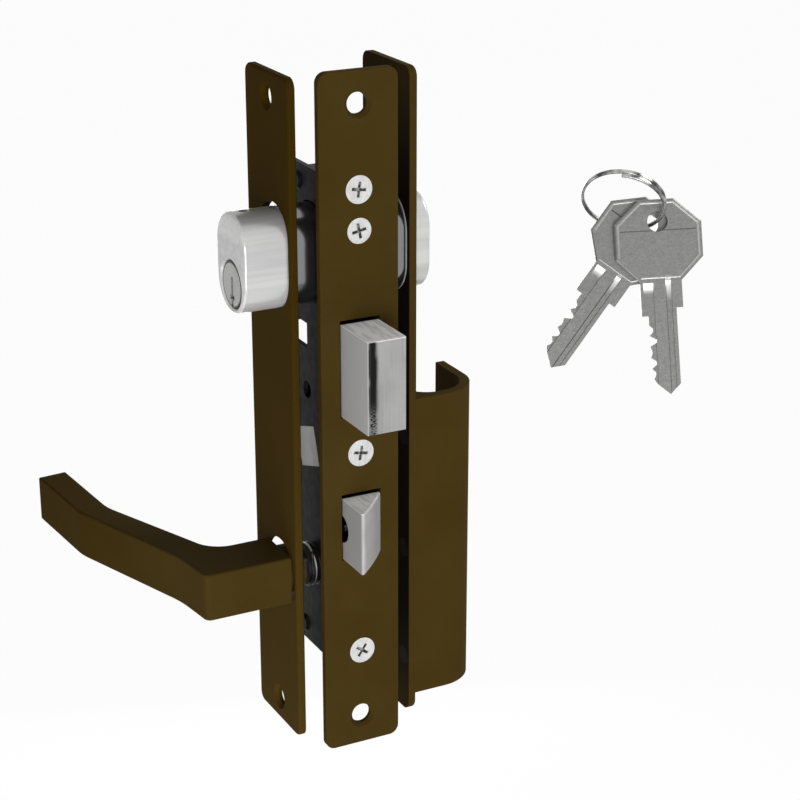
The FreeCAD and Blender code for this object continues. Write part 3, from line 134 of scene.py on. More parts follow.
class Term:
    """A number that varies over a surface: a node's output with the usual arithmetic."""

    def __init__(self, recipe: "Recipe", socket: bpy.types.NodeSocket) -> None:
        """Keep the recipe that the node belongs to and its output socket."""
        self.recipe = recipe
        self.socket = socket

    def _maths(self, operation: str, first: Number, second: Number) -> "Term":
        """One Math node on two values."""
        node = self.recipe.node("ShaderNodeMath", {"operation": operation}, {0: first, 1: second})
        return Term(self.recipe, node.outputs[0])

    def __add__(self, other: Number) -> "Term":
        """Sum."""
        return self._maths("ADD", self, other)

    def __radd__(self, other: Number) -> "Term":
        """Sum with a number on the left."""
        return self._maths("ADD", other, self)

    def __sub__(self, other: Number) -> "Term":
        """Difference."""
        return self._maths("SUBTRACT", self, other)

    def __rsub__(self, other: Number) -> "Term":
        """Difference with a number on the left."""
        return self._maths("SUBTRACT", other, self)

    def __mul__(self, other: Number) -> "Term":
        """Product."""
        return self._maths("MULTIPLY", self, other)

    def __rmul__(self, other: Number) -> "Term":
        """Product with a number on the left."""
        return self._maths("MULTIPLY", other, self)

    def step(self, low: float, high: float) -> "Term":
        """Smooth rise from 0 at the low value to 1 at the high one."""
        node = self.recipe.node(
            "ShaderNodeMapRange", {"interpolation_type": "SMOOTHSTEP"},
            {"Value": self, "From Min": low, "From Max": high})
        return Term(self.recipe, node.outputs[0])

    def around(self, middle: float, half: float) -> "Term":
        """Value that this noise moves by at most a half range to each side of a middle."""
        return middle - half + 2.0 * half * self

    def past(self, edge: float, border: Span) -> "Term":
        """0 before a soft border and 1 behind it, its start and end given from an edge."""
        return self.step(edge + border[0], edge + border[1])

    def between(self, low: float, high: float, soft: float) -> "Term":
        """1 between two values and 0 outside them, with soft borders that lie inside."""
        return self.step(low, low + soft) - self.step(high - soft, high)


class Recipe:
    """Node tree of one material or of the world."""

    def __init__(self, owner: Union[bpy.types.Material, bpy.types.World]) -> None:
        """Start an empty tree.

        Args:
            owner: the new material or world.
        """
        owner.use_nodes = True
        self.owner = owner
        self.tree = owner.node_tree
        self.tree.nodes.clear()

    @classmethod
    def named(cls, name: str) -> "Recipe":
        """Recipe of a new material."""
        return cls(bpy.data.materials.new(name))

    def node(
        self,
        kind: str,
        settings: Mapping[str, Any] | None = None,
        inputs: Mapping[Union[str, int], Any] | None = None,
    ) -> bpy.types.Node:
        """Make a node: its settings first, then the values or links of its sockets.

        Args:
            kind: the node's type.
            settings: its properties.
            inputs: socket names or numbers with a value, a socket or a Term.

        Returns:
            The node.
        """
        made = self.tree.nodes.new(kind)
        for name, value in (settings or {}).items():
            setattr(made, name, value)
        for name, value in (inputs or {}).items():
            socket = made.inputs[name]
            if isinstance(value, Term):
                self.tree.links.new(value.socket, socket)
            elif isinstance(value, bpy.types.NodeSocket):
                self.tree.links.new(value, socket)
            else:
                socket.default_value = value
        return made

    def noise(
        self,
        scale: float,
        detail: float = 2.0,
        stretch: Sequence[float] = (1.0, 1.0, 1.0),
        turn: Sequence[float] = (0.0, 0.0, 0.0),
    ) -> Term:
        """Noise on the object's own coordinates, about 0.5 on average.

        Args:
            scale: grains to the metre.
            detail: octaves.
            stretch: factor on each coordinate; a small one draws the grain out along that axis.
            turn: rotation of the pattern in radians.

        Returns:
            The noise.
        """
        place = self.node("ShaderNodeTexCoord")
        mapped = self.node(
            "ShaderNodeMapping", None,
            {"Vector": place.outputs["Object"], "Scale": tuple(stretch), "Rotation": tuple(turn)})
        grain = self.node(
            "ShaderNodeTexNoise", {"noise_dimensions": "3D"},
            {"Vector": mapped.outputs[0], "Scale": scale, "Detail": detail})
        return Term(self, grain.outputs[0])

    def along(self, axis: str) -> Term:
        """The object's own coordinate along an axis, in metres.

        Args:
            axis: X, Y or Z.

        Returns:
            The coordinate.
        """
        place = self.node("ShaderNodeTexCoord")
        parts = self.node("ShaderNodeSeparateXYZ", None, {0: place.outputs["Object"]})
        return Term(self, parts.outputs[axis])

    def from_axis(self, centre: Sequence[float]) -> Term:
        """Distance from an axis that runs along X, in metres.

        Formula: the length of (0, y - centre y, z - centre z).

        Args:
            centre: a point on the axis.

        Returns:
            The distance.
        """
        place = self.node("ShaderNodeTexCoord")
        moved = self.node("ShaderNodeMapping", None, {
            "Vector": place.outputs["Object"], "Scale": (0.0, 1.0, 1.0),
            "Location": (0.0, -centre[1], -centre[2])})
        length = self.node("ShaderNodeVectorMath", {"operation": "LENGTH"}, {0: moved.outputs[0]})
        return Term(self, length.outputs["Value"])

    def in_frame(self, spot: Sequence[float], turn: Sequence[float]) -> tuple[Term, Term]:
        """First two coordinates in a frame that stands anywhere in the object, in metres.

        Formula: the inverse rotation applied to the point less the frame's origin.

        Args:
            spot: the frame's origin.
            turn: its rotation as XYZ angles in radians.

        Returns:
            The X and Y coordinates.
        """
        place = self.node("ShaderNodeTexCoord")
        mapped = self.node(
            "ShaderNodeMapping", {"vector_type": "TEXTURE"},
            {"Vector": place.outputs["Object"], "Location": tuple(spot), "Rotation": tuple(turn)})
        parts = self.node("ShaderNodeSeparateXYZ", None, {0: mapped.outputs[0]})
        return Term(self, parts.outputs["X"]), Term(self, parts.outputs["Y"])

    def background_rays(self) -> Term:
        """1 for the rays that show the background: the camera's, mirrored and passed on ones."""
        path = self.node("ShaderNodeLightPath")
        kinds = [Term(self, path.outputs[f"Is {kind} Ray"]) for kind in ("Camera", "Glossy", "Transmission")]
        return kinds[0] + kinds[1] + kinds[2]

    def mix(
        self,
        factor: Number,
        first: Union[bpy.types.NodeSocket, Sequence[float]],
        second: Union[bpy.types.NodeSocket, Sequence[float]],
    ) -> bpy.types.NodeSocket:
        """Colour between two colours.

        Args:
            factor: 0 for the first colour, 1 for the second.
            first: a colour or a colour socket.
            second: a colour or a colour socket.

        Returns:
            The colour socket.
        """
        node = self.node(
            "ShaderNodeMix", {"data_type": "RGBA", "clamp_factor": True}, {0: factor, 6: first, 7: second})
        return node.outputs[2]

    def bump(self, height: Term, depth: float) -> bpy.types.NodeSocket:
        """Normal of a surface raised by a height.

        Args:
            height: 0 to 1.
            depth: metres that 1 stands for.

        Returns:
            The normal socket.
        """
        node = self.node("ShaderNodeBump", None, {"Height": height, "Distance": depth, "Strength": 1.0})
        return node.outputs[0]

    def close(self, **sockets: Any) -> bpy.types.Material:
        """Close the tree with a Principled shader.

        Args:
            **sockets: its sockets, with spaces written as underscores.

        Returns:
            The material.
        """
        named = {name.replace("_", " "): value for name, value in sockets.items()}
        shader = self.node("ShaderNodeBsdfPrincipled", None, named)
        self.node("ShaderNodeOutputMaterial", None, {"Surface": shader.outputs[0]})
        return self.owner


class Grain(Enum):
    """Direction in which a metal was drawn."""

    ALONG_Z = (1.0, 1.0, 0.02)
    EVEN = (1.0, 1.0, 1.0)


@dataclass(frozen=True, kw_only=True)
class Finish:
    """What the finishes share: a tone between two shades, uneven gloss and a fine relief.

    The spread is the part of a noise's range over which the tone changes. The gloss noise moves the
    roughness by up to half its range to each side, and the relief noise stands as high as the depth.
    """

    name: str
    spread: Span = (0.34, 0.66)
    metallic: float = 0.0
    roughness: float = 0.36
    rough_half: float = 0.1
    depth: float = 3e-6
    specular: float = 0.5

    def tones(self, recipe: Recipe, tone: Term, dark: Shade, light: Shade) -> bpy.types.NodeSocket:
        """Dark shade below the spread of a tone, and light shade above it."""
        return recipe.mix(tone.step(*self.spread), srgb(*dark), srgb(*light))

    def finished(
        self, recipe: Recipe, colour: bpy.types.NodeSocket, gloss: Term, relief: Term,
    ) -> bpy.types.Material:
        """Close the tree with the finish's own gloss and relief.

        Args:
            recipe: the tree that the colour is worked out in.
            colour: the colour over the surface.
            gloss: the noise of the roughness.
            relief: the noise of the height.

        Returns:
            The material.
        """
        return recipe.close(
            Base_Color=colour, Metallic=self.metallic,
            Roughness=gloss.around(self.roughness, self.rough_half),
            Normal=recipe.bump(relief, self.depth), Specular_IOR_Level=self.specular)


@dataclass(frozen=True, kw_only=True)
class BronzePaint(Finish):
    """Matt dark bronze coating: fine orange peel, faint mottling and a little dust in its tone.

    A plate's face against the door is painted near-black, as painted shade for the dark gap in front
    of it, and turns lighter towards its ends as painted light reaching round into that gap. A long
    piece may have painted shade that deepens along an axis, towards its head.
    """

    name: str = "bronze_paint"
    lit: Shade = (73, 58, 25)
    deep: Shade = (66, 51, 19)
    # Colour of the painted shade towards the head, if any.
    head: Shade | None = None
    shade_axis: str = "Z"
    shade_fade: Span = (-110.0 * MM, 80.0 * MM)
    # Colour of the painted shade on the face against the door.
    gap_shade: Shade = (19, 13, 5)
    shaded_face: float | None = None
    shade_border: Span = (0.02 * MM, 0.25 * MM)
    end_light: Span = (66.0 * MM, 100.0 * MM)
    end_light_share: float = 0.45
    cloud_scale: float = 38.0
    grit_scale: float = 5200.0
    grit_share: float = 0.3
    peel_scale: float = 1900.0
    spread: Span = (0.3, 0.7)
    roughness: float = 0.6
    rough_half: float = 0.05
    depth: float = 7e-6
    specular: float = 0.008

    def material(self) -> bpy.types.Material:
        """Build the coating.

        Returns:
            The material.
        """
        recipe = Recipe.named(self.name)
        cloud = recipe.noise(self.cloud_scale, 3.0)
        grit = recipe.noise(self.grit_scale, 2.0)
        tone = (1.0 - self.grit_share) * cloud + self.grit_share * grit
        colour = self.tones(recipe, tone, self.deep, self.lit)
        if self.head is not None:
            # Painted shade: the tone deepens along the axis towards the head.
            reach = recipe.along(self.shade_axis).step(*self.shade_fade)
            colour = recipe.mix(reach, colour, srgb(*self.head))
        # Painted shade on the face against the door, turning lighter towards the plate's ends as painted
        # light.
        if self.shaded_face is not None:
            outwards_x = math.copysign(1.0, self.shaded_face) * recipe.along("X")
            off_shaded_face = outwards_x.past(abs(self.shaded_face), self.shade_border)
            upright = recipe.along("Z")
            end_light = (upright * upright).step(*(edge ** 2 for edge in self.end_light))
            face_shade = recipe.mix(self.end_light_share * end_light, srgb(*self.gap_shade), colour)
            colour = recipe.mix(off_shaded_face, face_shade, colour)
        return self.finished(recipe, colour, grit, recipe.noise(self.peel_scale, 2.0))


@dataclass(frozen=True, kw_only=True)
class BrushedMetal(Finish):
    """Bare or plated metal with a drawn grain, cloudy tone and hairline scratches.

    A turned piece that faces along X may have a dark ring of painted shade inside its rim, where the gap
    round it falls dark.
    """

    light: Shade
    dark: Shade
    grain: Grain = Grain.EVEN
    line_scale: float = 3600.0
    line_share: float = 0.55
    cloud_scale: float = 60.0
    rim_centre: Sequence[float] | None = None
    rim_radius: float = 0.0
    rim_border: Span = (-0.95 * MM, -0.7 * MM)
    rim_shade: Shade = (20, 20, 20)
    metallic: float = 1.0
    roughness: float = 0.3
    rough_half: float = 0.09
    depth: float = 2.5e-6

    def material(self) -> bpy.types.Material:
        """Build the metal.

        Returns:
            The material.
        """
        recipe = Recipe.named(self.name)
        lines = recipe.noise(self.line_scale, 3.0, self.grain.value)
        cloud = recipe.noise(self.cloud_scale, 3.0)
        tone = self.line_share * lines + (1.0 - self.line_share) * cloud
        colour = self.tones(recipe, tone, self.dark, self.light)
        # Painted shade in a ring just inside the rim.
        if self.rim_centre is not None:
            rim = recipe.from_axis(self.rim_centre).past(self.rim_radius, self.rim_border)
            colour = recipe.mix(rim, colour, srgb(*self.rim_shade))
        return self.finished(recipe, colour, lines, lines)


@dataclass(frozen=True, kw_only=True)
class SatinChrome(Finish):
    """Chrome of the cylinder: satin where a hand reaches it, glossier between the plates with a painted dark
    reflection there, and painted reflection bands in its tone.
    """

    shelter: float
    name: str = "chrome_satin"
    light: Shade = (214, 214, 213)
    dark: Shade = (194, 194, 194)
    sheltered_reflection: Shade = (132, 132, 134)
    line_scale: float = 700.0
    line_stretch: Triple = (0.03, 1.0, 1.0)
    line_share: float = 0.35
    band_scale: float = 190.0
    band_stretch: Triple = (0.06, 0.06, 1.0)
    border: float = 0.6 * MM
    metallic: float = 0.35
    mirror_metallic: float = 0.95
    roughness: float = 0.27
    mirror_roughness: float = 0.16
    depth: float = 3e-7

    def material(self) -> bpy.types.Material:
        """Build the chrome.

        Returns:
            The material.
        """
        recipe = Recipe.named(self.name)
        lines = recipe.noise(self.line_scale, 2.0, self.line_stretch)
        # Painted reflection bands: the tone changes up and down the cylinder as reflections would.
        reflection_bands = recipe.noise(self.band_scale, 2.0, self.band_stretch)
        tone = self.line_share * lines + (1.0 - self.line_share) * reflection_bands
        colour = self.tones(recipe, tone, self.dark, self.light)
        # Painted dark reflection between the plates, where the chrome mirrors their dark backs.
        across = recipe.along("X")
        outside = (across * across).step((self.shelter - self.border) ** 2, self.shelter ** 2)
        colour = recipe.mix(outside, srgb(*self.sheltered_reflection), colour)
        metallic = self.mirror_metallic - (self.mirror_metallic - self.metallic) * outside
        rough = self.mirror_roughness + (self.roughness - self.mirror_roughness) * outside
        return recipe.close(
            Base_Color=colour, Metallic=metallic, Roughness=rough, Normal=recipe.bump(lines, self.depth))


@dataclass(frozen=True, kw_only=True)
class BoltSteel(Finish):
    """Plated bolt steel: a painted highlight, broken by scuffs, on top and along its edge on the pull's
    side, painted light on its flank and painted shade where the case guides it.

    A bolt may carry a painted dark reflection down its end, beside the edge on the lever's side, which
    breaks up towards its foot.
    """

    box: tuple[Vector, Vector]
    with_end_reflection: bool = False
    light: Shade = (172, 172, 171)
    dark: Shade = (152, 152, 151)
    wear_and_highlight: Shade = (248, 248, 247)
    flank: Shade = (196, 196, 195)
    guide_shade: Shade = (20, 19, 18)
    end_reflection: Shade = (12, 12, 13)
    line_scale: float = 3200.0
    line_share: float = 0.3
    cloud_scale: float = 70.0
    flank_border: Span = (0.05 * MM, 0.2 * MM)
    highlight_border: Span = (-0.4 * MM, -0.15 * MM)
    highlight_share: float = 0.6
    scuff_scale: float = 700.0
    scuff_stretch: Triple = (1.0, 0.12, 1.0)
    scuff_turn: Triple = (0.0, 0.0, 0.5)
    scuff_spread: Span = (0.42, 0.58)
    inset: float = 0.2 * MM
    width: float = 1.9 * MM
    rise: float = 0.5 * MM
    fall: float = 1.5 * MM
    wobble: float = 1.3 * MM
    wobble_scale: float = 420.0
    wobble_stretch: Triple = (1.0, 1.0, 0.3)
    wobble_middle: float = 0.3
    end_border: Span = (0.2 * MM, 0.5 * MM)
    foot_border: Span = (1.0 * MM, 11.0 * MM)
    break_scale: float = 1300.0
    break_stretch: Triple = (1.0, 1.0, 2.5)
    break_spread: Span = (0.42, 0.6)
    break_share: float = 0.8
    guide_border: Span = (0.1 * MM, 0.7 * MM)
    metallic: float = 0.15
    roughness: float = 0.34
    rough_half: float = 0.07
    depth: float = 2e-6
    specular: float = 0.15

    def material(self) -> bpy.types.Material:
        """Build the steel.

        Returns:
            The material.
        """
        recipe = Recipe.named(self.name)
        low, high = self.box
        lines = recipe.noise(self.line_scale, 3.0, Grain.ALONG_Z.value)
        cloud = recipe.noise(self.cloud_scale, 3.0)
        tone = self.line_share * lines + (1.0 - self.line_share) * cloud
        colour = self.tones(recipe, tone, self.dark, self.light)
        # Painted light on the flank on the lever's side.
        flank_light = 1.0 - recipe.along("X").past(low.x, self.flank_border)
        colour = recipe.mix(flank_light, colour, srgb(*self.flank))
        # Painted highlight on the top face and its top edge, broken up by scuffs of wear.
        on_top = recipe.along("Z").past(high.z, self.highlight_border)
        scuffs = recipe.noise(self.scuff_scale, 2.0, self.scuff_stretch, self.scuff_turn)
        scuffs = scuffs.step(*self.scuff_spread)
        top_highlight = on_top * (self.highlight_share + (1.0 - self.highlight_share) * scuffs)
        colour = recipe.mix(top_highlight, colour, srgb(*self.wear_and_highlight))
        # Painted highlight along the end's edge on the pull's side.
        on_edge = recipe.along("X").past(high.x, self.highlight_border)
        colour = recipe.mix(self.highlight_share * on_edge, colour, srgb(*self.wear_and_highlight))
        # Painted dark reflection down the bolt's end.
        if self.with_end_reflection:
            colour = recipe.mix(self.end_reflection_mask(recipe), colour, srgb(*self.end_reflection))
        # Painted shade where the bolt runs back into the case's guide.
        colour = recipe.mix(recipe.along("Y").step(*self.guide_border), colour, srgb(*self.guide_shade))
        return self.finished(recipe, colour, lines, lines)

    def end_reflection_mask(self, recipe: Recipe) -> Term:
        """Where the painted dark reflection lies on the bolt's end.

        Args:
            recipe: the tree that the mask is worked out in.

        Returns:
            1 on the painted reflection and 0 off it.
        """
        low = self.box[0]
        ragged = recipe.noise(self.wobble_scale, 3.0, self.wobble_stretch) - self.wobble_middle
        across = recipe.along("X") + self.wobble * ragged
        start = low.x + self.inset
        band = across.past(start, (0.0, self.rise)) - across.past(start + self.width, (0.0, self.fall))
        on_end = 1.0 - recipe.along("Y").past(low.y, self.end_border)
        foot = 1.0 - recipe.along("Z").past(low.z, self.foot_border)
        broken = foot * recipe.noise(self.break_scale, 2.0, self.break_stretch).step(*self.break_spread)
        return band * on_end * (1.0 - self.break_share * broken)


@dataclass(frozen=True, kw_only=True)
class RecessedZinc(Finish):
    """Bright zinc on a screw's flat head, with painted shade down in its cross recess, patchy lighter and
    darker.
    """

    name: str = "screw_zinc"
    light: Shade = (226, 226, 225)
    dark: Shade = (202, 202, 201)
    recess: Shade = (58, 57, 56)
    plated: Shade = (158, 157, 155)
    grain_scale: float = 2600.0
    grain_share: float = 0.5
    cloud_scale: float = 300.0
    lip: Span = (0.12 * MM, 0.7 * MM)
    ragged: float = 0.8 * MM
    ragged_scale: float = 1000.0
    shade_tone_scale: float = 1150.0
    shade_tone_spread: Span = (0.42, 0.6)
    spread: Span = (0.36, 0.64)
    metallic: float = 0.25
    rough_half: float = 0.08

    def material(self) -> bpy.types.Material:
        """Build the plating.

        Returns:
            The material.
        """
        recipe = Recipe.named(self.name)
        grain = recipe.noise(self.grain_scale, 3.0)
        cloud = recipe.noise(self.cloud_scale, 3.0)
        tone = self.grain_share * grain + (1.0 - self.grain_share) * cloud
        colour = self.tones(recipe, tone, self.dark, self.light)
        # Painted shade down in the cross recess, in lighter and darker patches.
        inwards = recipe.along("Y") + self.ragged * (recipe.noise(self.ragged_scale, 2.0) - 0.5)
        painted_shade_tone = recipe.noise(self.shade_tone_scale, 1.0).step(*self.shade_tone_spread)
        sunk = recipe.mix(painted_shade_tone, srgb(*self.recess), srgb(*self.plated))
        colour = recipe.mix(inwards.step(*self.lip), colour, sunk)
        return self.finished(recipe, colour, cloud, grain)


@dataclass(frozen=True, kw_only=True)
class ZincSheet(Finish):
    """Dark passivated zinc over rolled steel: cloudy spangle, rolling lines and handling smears."""

    name: str = "case_zinc"
    light: Shade = (42, 42, 44)
    dark: Shade = (6, 6, 7)
    spangle_scale: float = 340.0
    roll_scale: float = 2600.0
    smear_scale: float = 45.0
    shares: Triple = (0.4, 0.25, 0.35)
    spread: Span = (0.4, 0.6)
    metallic: float = 0.15
    roughness: float = 0.38
    specular: float = 0.02

    def material(self) -> bpy.types.Material:
        """Build the plated sheet.

        Returns:
            The material.
        """
        recipe = Recipe.named(self.name)
        spangle = recipe.noise(self.spangle_scale, 2.0)
        rolled = recipe.noise(self.roll_scale, 2.0, Grain.ALONG_Z.value)
        smear = recipe.noise(self.smear_scale, 4.0)
        tone = self.shares[0] * spangle + self.shares[1] * rolled + self.shares[2] * smear
        colour = self.tones(recipe, tone, self.dark, self.light)
        return self.finished(recipe, colour, smear, rolled)


@dataclass(frozen=True, kw_only=True)
class WornNickel(Finish):
    """Nickel-plated key stock with pocket scratches in two directions.

    A key's own frame has its hole's middle as origin, Y towards the ring and Z out of its face. There
    the cutter's run-outs carry a painted highlight, and painted shade lies in the line over the head and
    along the channel's edge. Each set of scratches is a noise's scale, octaves, stretch and turn.
    """

    spot: Sequence[float]
    turn: Sequence[float]
    shade_strength: float
    light: Shade = (139, 139, 138)
    dark: Shade = (119, 119, 118)
    bright: Shade = (236, 236, 235)
    painted_shade_tone: Shade = (22, 22, 22)
    first_scratches: tuple[float, float, Triple, Triple] = (1500.0, 3.0, (0.05, 1.0, 1.0), (0.3, 0.5, 0.9))
    second_scratches: tuple[float, float, Triple, Triple] = (1900.0, 3.0, (1.0, 0.06, 1.0), (0.8, 0.2, 0.4))
    scratch_share: float = 0.25
    sand_scale: float = 3300.0
    sand_share: float = 0.5
    line: Span = (-2.72 * MM, -2.34 * MM)
    line_reach: Span = (-10.8 * MM, 10.8 * MM)
    flank: Span = (-5.1 * MM, -2.2 * MM)
    flank_fade: Span = (-21.0 * MM, -17.3 * MM)
    channel: Span = (1.2 * MM, 2.9 * MM)
    channel_fade: Span = (-23.0 * MM, -16.9 * MM)
    corner_width: float = 0.32 * MM
    corner_border: Span = (-2.0 * MM, -1.0 * MM)
    soft: float = 0.08 * MM
    spread: Span = (0.36, 0.64)
    metallic: float = 0.4
    depth: float = 4e-6

    def material(self) -> bpy.types.Material:
        """Build the plate.

        Returns:
            The material.
        """
        recipe = Recipe.named(self.name)
        first = recipe.noise(*self.first_scratches)
        second = recipe.noise(*self.second_scratches)
        sand = recipe.noise(self.sand_scale, 2.0)
        tone = self.scratch_share * first + self.scratch_share * second + self.sand_share * sand
        colour = self.tones(recipe, tone, self.dark, self.light)
        across, along = recipe.in_frame(self.spot, self.turn)
        # Painted highlight on the cutter's run-outs.
        flank = self.run_out(across, along, self.flank, self.flank_fade)
        channel = self.run_out(across, along, self.channel, self.channel_fade)
        colour = recipe.mix(flank + channel, colour, srgb(*self.bright))
        # Painted shade in the line over the head and along the channel's edge.
        line = along.between(*self.line, self.soft) * across.between(*self.line_reach, self.soft)
        corner = across.between(self.channel[0], self.channel[0] + self.corner_width, self.soft)
        corner = corner * (1.0 - along.past(self.channel_fade[1], self.corner_border))
        colour = recipe.mix(self.shade_strength * (line + corner), colour, srgb(*self.painted_shade_tone))
        return self.finished(recipe, colour, first, sand + first)

    def run_out(self, across: Term, along: Term, sides: Span, fade: Span) -> Term:
        """Where a cutter's run-out carries its painted highlight.

        Args:
            across: the coordinate across the key.
            along: the coordinate along it.
            sides: the groove's two sides.
            fade: where the brightness ends below, and its sharp upper end.

        Returns:
            1 at the run-out's upper end, falling to 0 below it.
        """
        bright = across.between(*sides, self.soft) * along.step(*fade)
        return (1.0 - along.past(fade[1], (0.0, self.soft))) * bright


@dataclass(frozen=True, kw_only=True)
class LabelFilm(Finish):
    """Matt label film, left blank, with faint yellowed clouds."""

    name: str = "label_film"
    light: Shade = (252, 252, 251)
    yellowed: Shade = (242, 241, 237)
    cloud_scale: float = 140.0
    fibre_scale: float = 3000.0
    spread: Span = (0.35, 0.7)
    roughness: float = 0.55
    rough_half: float = 0.05

    def material(self) -> bpy.types.Material:
        """Build the film.

        Returns:
            The material.
        """
        recipe = Recipe.named(self.name)
        cloud = recipe.noise(self.cloud_scale, 3.0)
        fibre = recipe.noise(self.fibre_scale, 2.0)
        return self.finished(recipe, self.tones(recipe, cloud, self.light, self.yellowed), fibre, fibre)


@dataclass(frozen=True, kw_only=True)
class BlackOxide(Finish):
    """Black oxide on a steel screw, worn a little lighter on its high spots."""

    name: str = "black_steel"
    black: Shade = (17, 12, 5)
    wear_and_highlight: Shade = (23, 17, 9)
    wear_scale: float = 900.0
    spread: Span = (0.5, 0.75)
    roughness: float = 0.525
    rough_half: float = 0.075
    specular: float = 0.02

    def material(self) -> bpy.types.Material:
        """Build the oxide.

        Returns:
            The material.
        """
        recipe = Recipe.named(self.name)
        wear = recipe.noise(self.wear_scale, 3.0)
        return self.finished(recipe, self.tones(recipe, wear, self.black, self.wear_and_highlight), wear, wear)


@dataclass(frozen=True, kw_only=True)
class TorsionWire(Finish):
    """Dark spring wire with a painted highlight on its outer turn."""

    highlight_turn: Span
    name: str = "torsion_wire"
    black: Shade = (26, 26, 26)
    grey: Shade = (58, 58, 58)
    bright: Shade = (235, 235, 234)
    wear_scale: float = 800.0
    soft: float = 0.15 * MM
    spread: Span = (0.4, 0.7)
    metallic: float = 0.6
    roughness: float = 0.34
    rough_half: float = 0.06
    depth: float = 2e-6

    def material(self) -> bpy.types.Material:
        """Build the wire.

        Returns:
            The material.
        """
        recipe = Recipe.named(self.name)
        wear = recipe.noise(self.wear_scale, 3.0)
        colour = self.tones(recipe, wear, self.black, self.grey)
        # Painted highlight on the outer turn.
        turn = recipe.along("X").between(*self.highlight_turn, self.soft)
        colour = recipe.mix(turn, colour, srgb(*self.bright))
        return self.finished(recipe, colour, wear, wear)


@dataclass
class Palette:
    """Every finish of the lock, built once and shared by its pieces."""

    paint: bpy.types.Material = field(default_factory=lambda: BronzePaint().material())
    zinc: bpy.types.Material = field(default_factory=lambda: ZincSheet().material())
    screw: bpy.types.Material = field(default_factory=lambda: RecessedZinc().material())
    pin: bpy.types.Material = field(default_factory=lambda: BrushedMetal(
        name="pin_steel", light=(216, 216, 215), dark=(184, 184, 183), roughness=0.2,
        line_scale=2600.0).material())
    brass: bpy.types.Material = field(default_factory=lambda: BrushedMetal(
        name="pin_brass", light=(205, 172, 104), dark=(168, 134, 74), grain=Grain.ALONG_Z,
        roughness=0.28).material())
    # Steel of the ring with painted reflections: a wide spread from dark to light in big clouds.
    ring: bpy.types.Material = field(default_factory=lambda: BrushedMetal(
        name="ring_steel_painted_reflections", light=(190, 190, 189), dark=(64, 64, 64), roughness=0.2, line_scale=260.0,
        cloud_scale=130.0, depth=1e-6).material())
    wire: bpy.types.Material = field(default_factory=lambda: BrushedMetal(
        name="spring_steel", light=(150, 150, 149), dark=(104, 104, 103)).material())
    sintered: bpy.types.Material = field(default_factory=lambda: BrushedMetal(
        name="cam_steel", light=(104, 102, 98), dark=(66, 64, 61), roughness=0.42, line_scale=5200.0,
        depth=6e-6).material())
    # Nickel of the keys' beads, lighter than the keys as a painted highlight on the rims.
    rim: bpy.types.Material = field(default_factory=lambda: BrushedMetal(
        name="rim_nickel_highlight", light=(184, 184, 183), dark=(150, 150, 149), metallic=0.4,
        roughness=0.32).material())
    film: bpy.types.Material = field(default_factory=lambda: LabelFilm().material())
    oxide: bpy.types.Material = field(default_factory=lambda: BlackOxide().material())


def surface(name: str, points: np.ndarray, closed: tuple[bool, bool]) -> bpy.types.Object:
    """Mesh object of a grid of points, its faces wound from the first index to the second.

    Formula: vertex (i, j) joins (i + 1, j), (i + 1, j + 1) and (i, j + 1), each index taken modulo
    its count where that way is closed.

    Args:
        name: the object's name.
        points: array of rows, columns and coordinates.
        closed: whether the rows and the columns close on themselves.

    Returns:
        The object, linked to the scene.
    """
    rows, columns = points.shape[:2]
    row, column = np.meshgrid(
        np.arange(rows if closed[0] else rows - 1), np.arange(columns if closed[1] else columns - 1),
        indexing="ij")
    after_row = (row + 1) % rows
    after_column = (column + 1) % columns
    quads = np.stack([
        row * columns + column, after_row * columns + column,
        after_row * columns + after_column, row * columns + after_column], axis=-1).reshape(-1, 4)
    mesh = bpy.data.meshes.new(name)
    mesh.from_pydata(points.reshape(-1, 3).tolist(), [], quads.tolist())
    mesh.shade_smooth()
    made = bpy.data.objects.new(name, mesh)
    bpy.context.scene.collection.objects.link(made)
    return made


def wire_along(
    name: str, path: np.ndarray, radius: float, sides: int = 12, blunt: float = 0.02,
) -> bpy.types.Object:
    """Round wire along a path, narrowed to a point at both ends.

    Formula: point (i, j) is path(i) plus the wire's radius times (side cos a + over sin a), where a
    turns once with j, side is the tangent crossed with the direction away from the coil's axis, and
    over is side crossed with the tangent. The first and last rings are blunt points.

    Args:
        name: the object's name.
        path: points along the wire's middle.
        radius: the wire's radius.
        sides: points round the wire.
        blunt: radius of the first and last rings as a share of the wire's.

    Returns:
        The object.
    """
    tangent = np.gradient(path, axis=0)
    tangent /= np.linalg.norm(tangent, axis=1, keepdims=True)
    outward = path - path.mean(axis=0)
    side = np.cross(tangent, outward)
    side /= np.linalg.norm(side, axis=1, keepdims=True)
    over = np.cross(side, tangent)
    angle = np.linspace(0.0, 2.0 * math.pi, sides, endpoint=False)
    reach = np.full(len(path), radius)
    reach[[0, -1]] = radius * blunt
    ring = side[:, None] * np.cos(angle)[None, :, None] + over[:, None] * np.sin(angle)[None, :, None]
    points = path[:, None] + ring * reach[:, None, None]
    made = surface(name, points, (False, True))
    return outwards(made)


def outwards(made: bpy.types.Object) -> bpy.types.Object:
    """Close a shell's open rims and turn its faces outwards.

    Args:
        made: the object.

    Returns:
        The same object.
    """
    shell = bmesh.new()
    shell.from_mesh(made.data)
    rims = [edge for edge in shell.edges if edge.is_boundary]
    if rims:
        bmesh.ops.holes_fill(shell, edges=rims, sides=0)
    bmesh.ops.recalc_face_normals(shell, faces=shell.faces)
    shell.to_mesh(made.data)
    shell.free()
    return made


